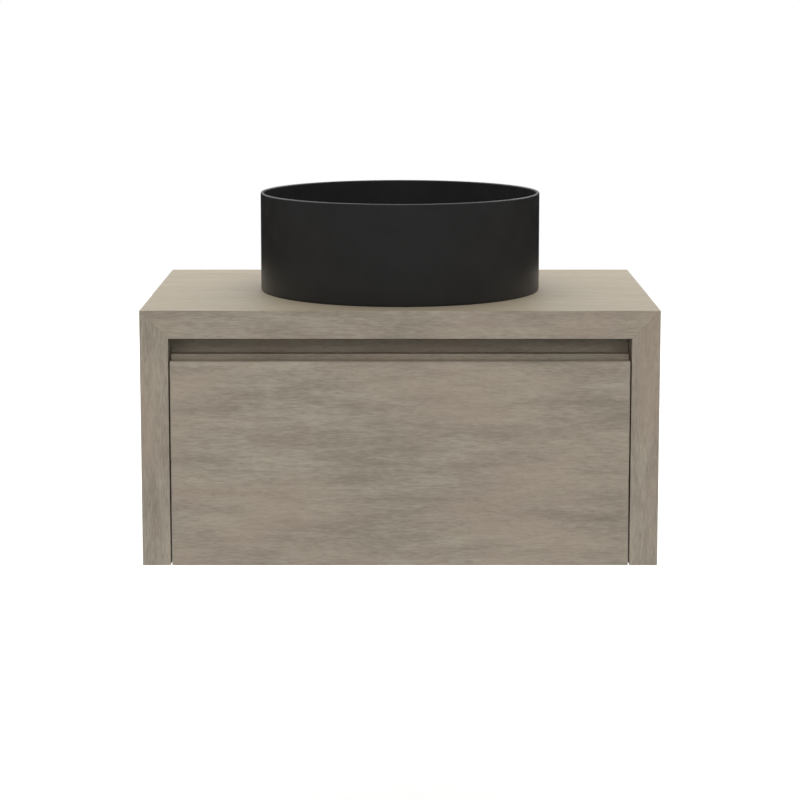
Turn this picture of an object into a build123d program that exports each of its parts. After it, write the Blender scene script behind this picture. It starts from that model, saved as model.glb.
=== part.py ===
from build123d import *
from math import sqrt
import os

# Wall-hung vanity: a mitred cabinet with one drawer, and a round basin standing on top of it.
# Millimetres. +X is to the right, +Z is up, and the front faces -Y. The origin is on the wall plane,
# on the centre line, at the cabinet's bottom edge.

# Cabinet
cabinet_width = 700
cabinet_depth = 450
cabinet_height = 350
board = 38  # top and side boards, joined by a 45 degree mitre
rail_board = 16
upper_rail_height = 70
upper_rail_gap = 18  # room behind the upper rail for the wall plates and their hooks
lower_rail_height = 100

# Drawer front, grip rail and the finger recess above them
front_gap = 2
front_thickness = 18
finger_opening = 31  # from the top board down to the front's top edge
grip_rail_height = 60
grip_rail_rise = 7.4  # how far the grip rail stands above the front
recess_depth = 54  # from the front plane to the board that closes the recess
recess_board_height = 72

# Drawer box
box_board = 16
box_bottom = 25
box_height = 120
box_rear_gap = 32
floor_thickness = 10
floor_raise = 12  # from the box's lower edge to the floor board
floor_groove = 6
floor_groove_gap = 0.2  # left at the bottom of each groove
notch_side_gap = 36  # from the trap to the notch's sides
notch_front_gap = 15

# Telescopic runners: cabinet, middle and drawer member, with balls between them
runner_thickness = 12.7
runner_height = 45
runner_steel = 1.2
runner_front_gap = 20
runner_rear_gap = 30
runner_mouth = 11.5  # how far the cabinet and middle members reach from the side board
middle_web = 3.4  # from the side board to the middle member's web
drawer_member_depth = 6.7
ball_diameter = 3.4
ball_play = 0.05  # clearance on each side of a ball
ball_pitch = 11
ball_count = 8
cage_width = 4.2
cage_thickness = 0.8
cage_offset = 4.9  # from the side board to the cage's near edge
access_hole_radius = 5

# Screws and dowels
screw_head_radius = 3.5
screw_head_height = 1.4
screw_radius = 1.75
pilot_gap = 0.05
runner_screw_length = 14
runner_screw_end = 35
front_screw_length = 28
front_screw_head_radius = 4
front_screw_head_height = 2
dowel_radius = 4
dowel_length = 30
dowel_gap = 0.1
dowel_in_side = 10  # how deep a rail's dowel goes into the upright board
mitre_dowel_edges = (45, 165)  # from the front edge, and the same from the back edge
upper_rail_dowel_rise = (10, 32)  # above the rail's lower edge
lower_rail_dowel_edge = 25
recess_dowel_edge = 15
box_dowel_edge = 25
front_screw_rise = 20  # above the drawer's floor
front_screw_drop = 30  # below the drawer box's top
front_screw_share = 0.7  # of the box's half width
grip_screw_x = 85
grip_screw_share = 0.8  # of the box's half width

# Cabinet hangers and wall plates
hanger_thickness = 14
hanger_length = 50
hanger_height = 62
hanger_drop = 6  # below the top board
hanger_screw_places = ((12, 42), (38, 20))  # from its rear end, and below its top
hanger_screw_bite = 12  # how deep its screws go into the side board
hook_drop = 5  # from the hanger's top to the hook's
hook_width = 10
hook_thickness = 3
hook_lip_height = 9
hook_lip_thickness = 2.5
hook_play = 0.1
plate_steel = 2
plate_width = 60
plate_base_height = 48
plate_jog = 8  # how far the plate's lip stands off the wall
plate_lip_height = 12
plate_side_gap = 0.5
wall_hole_radius = 3.5
wall_hole_pitch = 32
wall_hole_margin = 7

# Basin
basin_diameter = 400
basin_height = 140
basin_wall = 5
basin_setback = 34  # from the front plane to the basin
basin_foot_width = 15
basin_hollow = 8  # depth of the hollow under the floor
floor_edge_height = 20
floor_drain_height = 15
basin_corner_radius = 25
basin_base_radius = 4
rim_radius = 2
drain_gap = 1.75  # between the waste's tail and the basin
drain_seat_height = 12
drain_boss_radius = 40
bead_inset = 0.7

# Basin waste
flange_radius = 33
flange_thickness = 3
flange_edge_radius = 1
tail_radius = 20.75
tail_wall = 4.25
tail_length = 85
seal_gap = 1
upper_seal_thickness = 1.5
lower_seal_thickness = 3
lower_seal_width = 11
nut_wall = 10.25
nut_height = 8
nut_sides = 8
thread_gap = 0.05
top_hole_gap = 2.25
spider_height = 6
spider_drop = 36.5  # from the flange's top to the spider's underside
spider_hub_radius = 7
spoke_width = 3
spoke_overlap = 1  # how far a spoke runs into the tail's wall, and past the axis
cartridge_radius = 7
cartridge_drop = 2.5  # below the flange's top
cartridge_floor = 2
stud_radius = 4
stud_length = 12
stem_radius = 3.5
stem_gap = 0.05
stem_length = 29
cap_hub_radius = 8.05
cap_hub_length = 3
cap_radius = 31
cap_thickness = 5.5
cap_edge = 0.6  # bevel round its underside
cap_rim_share = 0.45  # the rim's height as a share of the thickness
cap_crown = (0.55, 0.87)  # a point of the crown, as shares of the radius and the thickness
cap_travel = 7
cap_closed_gap = 0.3
cap_ring_thickness = 1.5
cap_ring_radius = 29
cap_ring_width = 3

# Bottle trap
pipe_radius = 16
pipe_wall = 1.8
pipe_gap = 0.3
collar_gap = 0.25  # between the inlet pipe's collar and the waste's outer radius
collar_height = 4
trap_seal_thickness = 4
slip_nut_wall = 5.25
slip_nut_lip = 5
slip_nut_grip = 7
trap_nut_sides = 12
trap_nut_corner = 1  # corner's reach past the nut's wall
neck_drop = 28.5  # from the tail's end to the top of the neck
neck_wall = 4
neck_height = 23
neck_nut_height = 22
neck_nut_wall = 5
neck_seal_thickness = 3
bottle_radius = 30
bottle_wall = 2.5
bottle_height = 80
outlet_drop = 77.5  # from the tail's end to the outlet's axis
outlet_wall = 3
outlet_reach = 56
outlet_nut_length = 24
outlet_pipe_stop = 4  # from the bottle to the pipe's end inside the outlet
cup_depth = 40
cup_grip_wall = 4
cup_grip_height = 18
cup_overlap = 14
cup_corner_radius = 10
cup_seal = 1.5
dip_depth = 76  # from the outlet's axis to the end of the inlet pipe
depth_mark = 30  # insertion mark, from the pipe's end
depth_mark_width = 1
depth_mark_depth = 0.3

# Places worked out from the sizes
half_width = cabinet_width / 2
inner_half = half_width - board
inner_top = cabinet_height - board
front_plane = -cabinet_depth
front_half = inner_half - front_gap
front_top = inner_top - finger_opening
front_back = front_plane + front_thickness
grip_top = front_top + grip_rail_rise
grip_back = front_back + rail_board
recess_plane = front_plane + recess_depth
upper_rail_y = -upper_rail_gap - rail_board / 2
lower_rail_y = -rail_board / 2
sides = (("left", -1), ("right", 1))

basin_radius = basin_diameter / 2
drain_radius = tail_radius + drain_gap
tail_bore_radius = tail_radius - tail_wall
collar_radius = tail_radius - collar_gap
neck_radius = pipe_radius + neck_wall
outlet_radius = pipe_radius + outlet_wall
cup_grip_radius = bottle_radius + cup_grip_wall
basin_y = front_plane + basin_setback + basin_radius
basin_axis = Axis((0, basin_y, 0), (0, 0, 1))
flange_base = cabinet_height + drain_seat_height + upper_seal_thickness
flange_top = flange_base + flange_thickness
tail_end = flange_top - tail_length
neck_top = tail_end - neck_drop
bottle_top = neck_top - neck_height
bottle_end = bottle_top - bottle_height
outlet_z = tail_end - outlet_drop
outlet_end = basin_y + outlet_reach

box_top = box_bottom + box_height
box_half = inner_half - runner_thickness
box_inner = box_half - box_board
box_front = front_back + box_board
floor_low = box_bottom + floor_raise
floor_top = floor_low + floor_thickness
notch_half = cup_grip_radius + notch_side_gap
notch_front = basin_y - cup_grip_radius - notch_front_gap
groove_reach = floor_groove - floor_groove_gap

runner_z = box_bottom + box_height / 2
runner_length = cabinet_depth - runner_front_gap - runner_rear_gap
runner_middle_y = -runner_rear_gap - runner_length / 2
runner_plane = Plane.XZ.offset(runner_rear_gap)
ball_lane = ball_diameter + 2 * ball_play
cabinet_member_half = runner_height / 2
middle_member_half = cabinet_member_half - runner_steel - ball_lane
drawer_member_half = middle_member_half - runner_steel - ball_lane
runner_screw_y = [
    -runner_rear_gap - runner_screw_end,
    runner_middle_y,
    -runner_rear_gap - runner_length + runner_screw_end,
]

hanger_top = inner_top - hanger_drop
hook_top = hanger_top - hook_drop
hook_underside = hook_top - hook_thickness
plate_shelf = hook_underside - plate_lip_height
plate_low = plate_shelf + plate_steel - plate_base_height
plate_x = inner_half - plate_side_gap - plate_width / 2


def box_between(low, high, mode=Mode.ADD):
    """A box from its lowest corner to its highest corner."""
    with Locations(tuple((a + b) / 2 for a, b in zip(low, high))):
        Box(*[b - a for a, b in zip(low, high)], mode=mode)


def mirrored_box(sign, near, far, low, high, mode=Mode.ADD):
    """A box between two distances from the centre plane, on the left (-1) or right (1) side."""
    xs = sorted((sign * near, sign * far))
    box_between((xs[0], *low), (xs[1], *high), mode)


def ring_on_axis(outer, inner, low, high):
    """A ring or tube round the basin's axis, between two heights."""
    with Locations((0, basin_y, (low + high) / 2)):
        Cylinder(outer, high - low)
        Cylinder(inner, high - low, mode=Mode.SUBTRACT)


def ring_on_outlet(outer, inner, rear, front):
    """A ring or tube round the trap outlet's axis, between two distances from the wall."""
    with Locations(Location((0, (rear + front) / 2, outlet_z), (90, 0, 0))):
        Cylinder(outer, front - rear)
        Cylinder(inner, front - rear, mode=Mode.SUBTRACT)


def half_section(z):
    """The plane in which a turned piece's half section is drawn: x is the radius, y the height over z."""
    return Plane(origin=(0, basin_y, z), x_dir=(1, 0, 0), z_dir=(0, -1, 0))


def along_x(x, y, z):
    return Location((x, y, z), (0, 90, 0))


def save(builder, name):
    builder.part.label = name
    export_step(builder.part, f"parts/{name}.step")


os.makedirs("parts", exist_ok=True)

# Places of dowels and screws, shared by the pieces they join
mitre_dowel_y = [front_plane + edge for edge in mitre_dowel_edges]
mitre_dowel_y += [-edge for edge in reversed(mitre_dowel_edges)]
mitre_dowels_at = [
    Plane(
        origin=(sign * (half_width - board / 2), y, cabinet_height - board / 2),
        z_dir=(sign, 0, -1),
    ).location
    for _, sign in sides
    for y in mitre_dowel_y
]
recess_board_y = recess_plane + rail_board / 2
rail_dowel_rows = [
    *[(upper_rail_y, inner_top - upper_rail_height + rise) for rise in upper_rail_dowel_rise],
    (lower_rail_y, lower_rail_dowel_edge),
    (lower_rail_y, lower_rail_height - lower_rail_dowel_edge),
    (recess_board_y, inner_top - recess_board_height + recess_dowel_edge),
    (recess_board_y, inner_top - recess_dowel_edge),
]
rail_dowels_at = [
    along_x(sign * (inner_half + dowel_in_side - dowel_length / 2), y, z)
    for _, sign in sides
    for y, z in rail_dowel_rows
]
box_dowels_at = [
    along_x(sign * (box_inner + dowel_in_side - dowel_length / 2), y, z)
    for _, sign in sides
    for y in (box_front - box_board / 2, -box_rear_gap - box_board / 2)
    for z in (floor_top + box_dowel_edge, box_top - box_dowel_edge)
]
hanger_rear = -upper_rail_gap - rail_board
hanger_screws_at = [(hanger_rear - back, hanger_top - drop) for back, drop in hanger_screw_places]
grip_screw_end = grip_screw_share * box_inner
front_screws_at = [
    (x, z)
    for x in (-front_screw_share * box_inner, front_screw_share * box_inner)
    for z in (floor_top + front_screw_rise, box_top - front_screw_drop)
] + [
    (x, grip_top - grip_rail_height / 2)
    for x in (-grip_screw_end, -grip_screw_x, grip_screw_x, grip_screw_end)
]


def cut_dowel_holes(places):
    with Locations(*places):
        Cylinder(dowel_radius + dowel_gap, dowel_length + 2 * dowel_gap, mode=Mode.SUBTRACT)


# ---- Cabinet boards ----

with BuildPart() as top_panel:
    with BuildSketch(Plane.XZ):
        with BuildLine():
            Polyline(
                (-half_width, cabinet_height),
                (half_width, cabinet_height),
                (inner_half, inner_top),
                (-inner_half, inner_top),
                close=True,
            )
        make_face()
    extrude(amount=cabinet_depth)
    with Locations((0, basin_y, cabinet_height)):
        Hole(tail_radius + top_hole_gap, depth=board)
    cut_dowel_holes(mitre_dowels_at)
save(top_panel, "top_panel")

for side, sign in sides:
    with BuildPart() as side_panel:
        with BuildSketch(Plane.XZ):
            with BuildLine():
                Polyline(
                    (sign * half_width, 0),
                    (sign * half_width, cabinet_height),
                    (sign * inner_half, inner_top),
                    (sign * inner_half, 0),
                    close=True,
                )
            make_face()
        extrude(amount=cabinet_depth)
        cut_dowel_holes(mitre_dowels_at)
        cut_dowel_holes(rail_dowels_at)
        with Locations(*[along_x(sign * inner_half, y, runner_z) for y in runner_screw_y]):
            Cylinder(screw_radius + pilot_gap, 2 * runner_screw_length, mode=Mode.SUBTRACT)
        with Locations(*[along_x(sign * inner_half, y, z) for y, z in hanger_screws_at]):
            Cylinder(screw_radius + pilot_gap, 2 * runner_screw_length, mode=Mode.SUBTRACT)
    save(side_panel, f"side_panel_{side}")

with BuildPart() as recess_back_board:
    box_between(
        (-inner_half, recess_plane, inner_top - recess_board_height),
        (inner_half, recess_plane + rail_board, inner_top),
    )
    cut_dowel_holes(rail_dowels_at)
save(recess_back_board, "recess_back_board")

with BuildPart() as back_rail_upper:
    box_between(
        (-inner_half, upper_rail_y - rail_board / 2, inner_top - upper_rail_height),
        (inner_half, upper_rail_y + rail_board / 2, inner_top),
    )
    for side, sign in sides:
        mirrored_box(
            sign,
            inner_half - hanger_thickness,
            inner_half,
            (upper_rail_y - rail_board / 2, hook_underside - plate_lip_height),
            (upper_rail_y + rail_board / 2, inner_top),
            mode=Mode.SUBTRACT,
        )
    cut_dowel_holes(rail_dowels_at)
save(back_rail_upper, "back_rail_upper")

with BuildPart() as back_rail_lower:
    box_between((-inner_half, -rail_board, 0), (inner_half, 0, lower_rail_height))
    cut_dowel_holes(rail_dowels_at)
save(back_rail_lower, "back_rail_lower")

with BuildPart() as mitre_dowels:
    with Locations(*mitre_dowels_at):
        Cylinder(dowel_radius, dowel_length)
save(mitre_dowels, "mitre_dowels")

with BuildPart() as rail_dowels:
    with Locations(*rail_dowels_at):
        Cylinder(dowel_radius, dowel_length)
save(rail_dowels, "rail_dowels")

# ---- Hangers and wall plates ----

hook_middle = inner_half - hanger_thickness / 2
for side, sign in sides:
    with BuildPart() as hanger:
        mirrored_box(
            sign,
            inner_half - hanger_thickness,
            inner_half,
            (hanger_rear - hanger_length, hanger_top - hanger_height),
            (hanger_rear, hanger_top),
        )
        lip_front = -plate_jog + plate_steel + hook_play
        hook = (hook_middle - hook_width / 2, hook_middle + hook_width / 2)
        mirrored_box(
            sign, *hook, (hanger_rear, hook_underside), (lip_front + hook_lip_thickness, hook_top)
        )
        mirrored_box(
            sign,
            *hook,
            (lip_front, hook_underside - hook_lip_height),
            (lip_front + hook_lip_thickness, hook_underside),
        )
        with Locations(*[along_x(sign * inner_half, y, z) for y, z in hanger_screws_at]):
            Cylinder(screw_radius + pilot_gap, 4 * hanger_thickness, mode=Mode.SUBTRACT)
    save(hanger, f"hanger_{side}")

    with BuildPart() as wall_plate:
        plate = (plate_x - plate_width / 2, plate_x + plate_width / 2)
        mirrored_box(sign, *plate, (-plate_steel, plate_low), (0, plate_shelf + plate_steel))
        mirrored_box(sign, *plate, (-plate_jog, plate_shelf), (-plate_steel, plate_shelf + plate_steel))
        mirrored_box(sign, *plate, (-plate_jog, plate_shelf), (-plate_jog + plate_steel, hook_underside))
        with Locations(
            *[
                Location((sign * plate_x, 0, plate_low + wall_hole_margin + z), (90, 0, 0))
                for z in (0, wall_hole_pitch)
            ]
        ):
            Cylinder(wall_hole_radius, 3 * plate_steel, mode=Mode.SUBTRACT)
    save(wall_plate, f"wall_plate_{side}")

hanger_screw_length = hanger_thickness + hanger_screw_bite
with BuildPart() as hanger_screws:
    for side, sign in sides:
        head_face = sign * (inner_half - hanger_thickness)
        with Locations(
            *[
                along_x(head_face - sign * screw_head_height / 2, y, z)
                for y, z in hanger_screws_at
            ]
        ):
            Cylinder(screw_head_radius, screw_head_height)
        with Locations(
            *[
                along_x(head_face + sign * hanger_screw_length / 2, y, z)
                for y, z in hanger_screws_at
            ]
        ):
            Cylinder(screw_radius, hanger_screw_length)
save(hanger_screws, "hanger_screws")

# ---- Runners ----

for side, sign in sides:
    with BuildPart() as runner_cabinet:
        with BuildSketch(runner_plane):
            with Locations((sign * (inner_half - runner_mouth / 2), runner_z)):
                Rectangle(runner_mouth, runner_height)
            with Locations((sign * (inner_half - runner_steel - runner_mouth / 2), runner_z)):
                Rectangle(runner_mouth, runner_height - 2 * runner_steel, mode=Mode.SUBTRACT)
        extrude(amount=runner_length)
        with Locations(*[along_x(sign * inner_half, y, runner_z) for y in runner_screw_y]):
            Cylinder(screw_radius + pilot_gap, 3 * runner_steel, mode=Mode.SUBTRACT)
    save(runner_cabinet, f"runner_cabinet_{side}")

    with BuildPart() as runner_middle:
        depth = runner_mouth - middle_web
        with BuildSketch(runner_plane):
            with Locations((sign * (inner_half - middle_web - depth / 2), runner_z)):
                Rectangle(depth, 2 * middle_member_half)
            with Locations((sign * (inner_half - middle_web - runner_steel - depth / 2), runner_z)):
                Rectangle(depth, 2 * (middle_member_half - runner_steel), mode=Mode.SUBTRACT)
        extrude(amount=runner_length)
        with Locations(*[along_x(sign * (inner_half - middle_web), y, runner_z) for y in runner_screw_y]):
            Cylinder(access_hole_radius, 3 * runner_steel, mode=Mode.SUBTRACT)
    save(runner_middle, f"runner_middle_{side}")

    with BuildPart() as runner_drawer:
        with BuildSketch(runner_plane):
            with Locations((sign * (box_half + drawer_member_depth / 2), runner_z)):
                Rectangle(drawer_member_depth, 2 * drawer_member_half)
            with Locations((sign * (box_half + runner_steel + drawer_member_depth / 2), runner_z)):
                Rectangle(
                    drawer_member_depth, 2 * (drawer_member_half - runner_steel), mode=Mode.SUBTRACT
                )
        extrude(amount=runner_length)
        with Locations(*[along_x(sign * box_half, y, runner_z) for y in runner_screw_y]):
            Cylinder(screw_radius + pilot_gap, 3 * runner_steel, mode=Mode.SUBTRACT)
    save(runner_drawer, f"runner_drawer_{side}")

    for stage, member_half in (("outer", middle_member_half), ("inner", drawer_member_half)):
        lane = member_half + ball_lane / 2
        cage_x = inner_half - cage_offset - cage_width / 2
        with BuildPart() as ball_cage:
            for height in (runner_z - lane, runner_z + lane):
                with Locations((sign * cage_x, runner_middle_y, height)):
                    Box(cage_width, ball_count * ball_pitch, cage_thickness)
                    with GridLocations(1, ball_pitch, 1, ball_count):
                        Sphere(ball_diameter / 2)
        save(ball_cage, f"ball_cage_{stage}_{side}")

with BuildPart() as runner_screws_cabinet:
    for side, sign in sides:
        face = inner_half - runner_steel
        with Locations(
            *[along_x(sign * (face - screw_head_height / 2), y, runner_z) for y in runner_screw_y]
        ):
            Cylinder(screw_head_radius, screw_head_height)
        with Locations(
            *[along_x(sign * (face + runner_screw_length / 2), y, runner_z) for y in runner_screw_y]
        ):
            Cylinder(screw_radius, runner_screw_length)
save(runner_screws_cabinet, "runner_screws_cabinet")

with BuildPart() as runner_screws_drawer:
    for side, sign in sides:
        face = box_half + runner_steel
        with Locations(
            *[along_x(sign * (face + screw_head_height / 2), y, runner_z) for y in runner_screw_y]
        ):
            Cylinder(screw_head_radius, screw_head_height)
        with Locations(
            *[along_x(sign * (face - runner_screw_length / 2), y, runner_z) for y in runner_screw_y]
        ):
            Cylinder(screw_radius, runner_screw_length)
save(runner_screws_drawer, "runner_screws_drawer")

# ---- Basin ----

with BuildPart() as vessel_basin:
    with BuildSketch(half_section(cabinet_height)):
        inner_wall = basin_radius - basin_wall
        with BuildLine():
            FilletPolyline(
                (drain_radius, 0),
                (drain_boss_radius, 0),
                (drain_boss_radius, basin_hollow),
                (basin_radius - basin_foot_width, basin_hollow),
                (basin_radius - basin_foot_width, 0),
                (basin_radius, 0),
                (basin_radius, basin_height),
                (inner_wall, basin_height),
                (inner_wall, floor_edge_height),
                (flange_radius + seal_gap, floor_drain_height),
                (flange_radius + seal_gap, drain_seat_height),
                (drain_radius, drain_seat_height),
                radius=[0] * 5
                + [basin_base_radius, rim_radius, rim_radius, basin_corner_radius]
                + [0] * 3,
                close=True,
            )
        make_face()
    revolve(axis=basin_axis)
save(vessel_basin, "vessel_basin")

bead_in = basin_radius - basin_base_radius / 2
bead_out = basin_radius - bead_inset
bead_mid = (bead_in + bead_out) / 2
bead_reach = bead_mid - basin_radius + basin_base_radius
bead_room = sqrt(basin_base_radius**2 - bead_reach**2)


def bead_height(radius):
    """Height at a distance from the axis of the line that touches the basin's rounded lower edge."""
    return basin_base_radius - bead_room + (radius - bead_mid) * bead_reach / bead_room


with BuildPart() as silicone_bead:
    with BuildSketch(half_section(cabinet_height)):
        with BuildLine():
            Polyline(
                (bead_in, 0),
                (bead_out, 0),
                (bead_out, bead_height(bead_out)),
                (bead_in, bead_height(bead_in)),
                close=True,
            )
        make_face()
    revolve(axis=basin_axis)
save(silicone_bead, "silicone_bead")

# ---- Basin waste ----

spider_low = flange_top - spider_drop
with BuildPart() as waste_body:
    ring_on_axis(flange_radius, tail_bore_radius, flange_base, flange_top)
    fillet(waste_body.edges().filter_by(GeomType.CIRCLE).group_by(Axis.Z)[-1], flange_edge_radius)
    ring_on_axis(tail_radius, tail_bore_radius, tail_end, flange_base)
    with Locations((0, basin_y, spider_low + spider_height / 2)):
        Cylinder(spider_hub_radius, spider_height)
        with PolarLocations(tail_bore_radius / 2, 3):
            Box(tail_bore_radius + spoke_overlap, spoke_width, spider_height)
        Cylinder(stud_radius + thread_gap, spider_height, mode=Mode.SUBTRACT)
save(waste_body, "waste_body")

with BuildPart() as waste_seal_upper:
    ring_on_axis(
        flange_radius - seal_gap,
        drain_radius + seal_gap,
        flange_base - upper_seal_thickness,
        flange_base,
    )
save(waste_seal_upper, "waste_seal_upper")

lower_seal_base = inner_top - lower_seal_thickness
with BuildPart() as waste_seal_lower:
    ring_on_axis(tail_radius + lower_seal_width, tail_radius + thread_gap, lower_seal_base, inner_top)
save(waste_seal_lower, "waste_seal_lower")

with BuildPart() as waste_nut:
    with BuildSketch(Plane.XY.offset(lower_seal_base - nut_height)):
        with Locations((0, basin_y)):
            RegularPolygon(tail_radius + nut_wall, nut_sides)
            Circle(tail_radius + thread_gap, mode=Mode.SUBTRACT)
    extrude(amount=nut_height)
save(waste_nut, "waste_nut")

cartridge_low = spider_low + spider_height
cartridge_top = flange_top - cartridge_drop
with BuildPart() as waste_cartridge:
    with Locations((0, basin_y, (cartridge_low + cartridge_top) / 2)):
        Cylinder(cartridge_radius, cartridge_top - cartridge_low)
    with Locations((0, basin_y, cartridge_low - stud_length / 2)):
        Cylinder(stud_radius, stud_length)
    with Locations((0, basin_y, cartridge_top)):
        Hole(stem_radius + stem_gap, depth=cartridge_top - cartridge_low - cartridge_floor)
save(waste_cartridge, "waste_cartridge")

cap_base = flange_top + cap_closed_gap + cap_travel + cap_ring_thickness
cap_rim = cap_thickness * cap_rim_share
with BuildPart() as waste_cap:
    with BuildSketch(half_section(cap_base)):
        with BuildLine():
            Polyline(
                (cap_radius, cap_rim),
                (cap_radius, cap_edge),
                (cap_radius - cap_edge, 0),
                (cap_hub_radius, 0),
                (cap_hub_radius, -cap_hub_length),
                (stem_radius, -cap_hub_length),
                (stem_radius, -stem_length),
                (0, -stem_length),
                (0, cap_thickness),
            )
            ThreePointArc(
                (0, cap_thickness),
                (cap_radius * cap_crown[0], cap_thickness * cap_crown[1]),
                (cap_radius, cap_rim),
            )
        make_face()
    revolve(axis=basin_axis)
save(waste_cap, "waste_cap")

with BuildPart() as waste_cap_ring:
    ring_on_axis(cap_ring_radius, cap_ring_radius - cap_ring_width, cap_base - cap_ring_thickness, cap_base)
save(waste_cap_ring, "waste_cap_ring")

# ---- Bottle trap ----

collar_top = tail_end - trap_seal_thickness
collar_base = collar_top - collar_height
slip_bore = pipe_radius + pipe_gap
with BuildPart() as trap_inlet_nut:
    with BuildSketch(Plane.XY.offset(collar_base - slip_nut_lip)):
        with Locations((0, basin_y)):
            RegularPolygon(tail_radius + slip_nut_wall, trap_nut_sides)
    extrude(amount=slip_nut_lip + collar_height + trap_seal_thickness + slip_nut_grip)
    with Locations((0, basin_y, tail_end + slip_nut_grip)):
        Hole(tail_radius + thread_gap, depth=slip_nut_grip + trap_seal_thickness + collar_height)
        Hole(slip_bore, depth=2 * neck_drop)
save(trap_inlet_nut, "trap_inlet_nut")

with BuildPart() as trap_inlet_pipe:
    ring_on_axis(pipe_radius, pipe_radius - pipe_wall, outlet_z - dip_depth, collar_base)
    ring_on_axis(collar_radius, pipe_radius - pipe_wall, collar_base, collar_top)
save(trap_inlet_pipe, "trap_inlet_pipe")

neck_nut_low = neck_top + neck_seal_thickness + neck_nut_wall - neck_nut_height
neck_nut_radius = neck_radius + neck_nut_wall + trap_nut_corner
with BuildPart() as trap_neck_nut:
    with BuildSketch(Plane.XY.offset(neck_nut_low)):
        with Locations((0, basin_y)):
            RegularPolygon(neck_nut_radius, trap_nut_sides)
            Circle(neck_radius + thread_gap, mode=Mode.SUBTRACT)
    extrude(amount=neck_nut_height - neck_nut_wall)
    with BuildSketch(Plane.XY.offset(neck_top + neck_seal_thickness)):
        with Locations((0, basin_y)):
            RegularPolygon(neck_nut_radius, trap_nut_sides)
            Circle(slip_bore, mode=Mode.SUBTRACT)
    extrude(amount=neck_nut_wall)
save(trap_neck_nut, "trap_neck_nut")

with BuildPart() as trap_body:
    ring_on_axis(bottle_radius, bottle_radius - bottle_wall, bottle_end, bottle_top)
    ring_on_axis(bottle_radius, slip_bore, bottle_top - bottle_wall, bottle_top)
    ring_on_axis(neck_radius, slip_bore, bottle_top, neck_top)
    with Locations(Location((0, (basin_y + outlet_end) / 2, outlet_z), (90, 0, 0))):
        Cylinder(outlet_radius, outlet_reach)
        Cylinder(slip_bore, outlet_reach, mode=Mode.SUBTRACT)
    with Locations((0, basin_y, (bottle_end + bottle_top - bottle_wall) / 2)):
        Cylinder(bottle_radius - bottle_wall, bottle_height - bottle_wall, mode=Mode.SUBTRACT)
save(trap_body, "trap_body")

with BuildPart() as trap_cup:
    with BuildSketch(half_section(bottle_end)):
        with BuildLine():
            FilletPolyline(
                (0, -cup_depth),
                (bottle_radius, -cup_depth),
                (bottle_radius, cup_overlap - cup_grip_height),
                (cup_grip_radius, cup_overlap - cup_grip_height),
                (cup_grip_radius, cup_overlap),
                (bottle_radius + thread_gap, cup_overlap),
                (bottle_radius + thread_gap, -cup_seal),
                (bottle_radius - bottle_wall, -cup_seal),
                (bottle_radius - bottle_wall, bottle_wall - cup_depth),
                (0, bottle_wall - cup_depth),
                radius=[0, cup_corner_radius, 0, 0, 0, 0, 0, 0, cup_corner_radius - bottle_wall, 0],
                close=True,
            )
        make_face()
    revolve(axis=basin_axis)
save(trap_cup, "trap_cup")

outlet_lip = outlet_end + neck_seal_thickness
outlet_nut_radius = outlet_radius + neck_nut_wall + trap_nut_corner
with BuildPart() as trap_outlet_nut:
    with BuildSketch(Plane.XZ.offset(-outlet_lip)):
        with Locations((0, outlet_z)):
            RegularPolygon(outlet_nut_radius, trap_nut_sides)
            Circle(outlet_radius + thread_gap, mode=Mode.SUBTRACT)
    extrude(amount=outlet_nut_length - neck_nut_wall)
    with BuildSketch(Plane.XZ.offset(-outlet_lip)):
        with Locations((0, outlet_z)):
            RegularPolygon(outlet_nut_radius, trap_nut_sides)
            Circle(slip_bore, mode=Mode.SUBTRACT)
    extrude(amount=-neck_nut_wall)
save(trap_outlet_nut, "trap_outlet_nut")

outlet_pipe_end = basin_y + bottle_radius + outlet_pipe_stop
with BuildPart() as trap_outlet_pipe:
    ring_on_outlet(pipe_radius, pipe_radius - pipe_wall, outlet_pipe_end, 0)
    with Locations(Location((0, -depth_mark - depth_mark_width / 2, outlet_z), (90, 0, 0))):
        Cylinder(pipe_radius + depth_mark_depth, depth_mark_width, mode=Mode.SUBTRACT)
    ring_on_outlet(
        pipe_radius - depth_mark_depth,
        pipe_radius - pipe_wall,
        -depth_mark - depth_mark_width,
        -depth_mark,
    )
save(trap_outlet_pipe, "trap_outlet_pipe")

with BuildPart() as trap_seals:
    ring_on_axis(collar_radius, pipe_radius - pipe_wall, collar_top, tail_end)
    ring_on_axis(neck_radius, slip_bore, neck_top, neck_top + neck_seal_thickness)
    ring_on_axis(bottle_radius, bottle_radius - bottle_wall, bottle_end - cup_seal, bottle_end)
    ring_on_outlet(outlet_radius, slip_bore, outlet_end, outlet_lip)
save(trap_seals, "trap_seals")

# ---- Drawer ----


def cut_front_screw_holes():
    with Locations(*[Location((x, front_back, z), (90, 0, 0)) for x, z in front_screws_at]):
        Cylinder(
            screw_radius + pilot_gap, 2 * (front_screw_length - rail_board), mode=Mode.SUBTRACT
        )


with BuildPart() as drawer_front:
    box_between((-front_half, front_plane, 0), (front_half, front_back, front_top))
    cut_front_screw_holes()
save(drawer_front, "drawer_front")

with BuildPart() as grip_rail:
    box_between(
        (-front_half, front_back, grip_top - grip_rail_height), (front_half, grip_back, grip_top)
    )
    with Locations(*[Location((x, grip_back, z), (90, 0, 0)) for x, z in front_screws_at]):
        Cylinder(screw_radius + pilot_gap, 2 * rail_board, mode=Mode.SUBTRACT)
save(grip_rail, "grip_rail")

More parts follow.
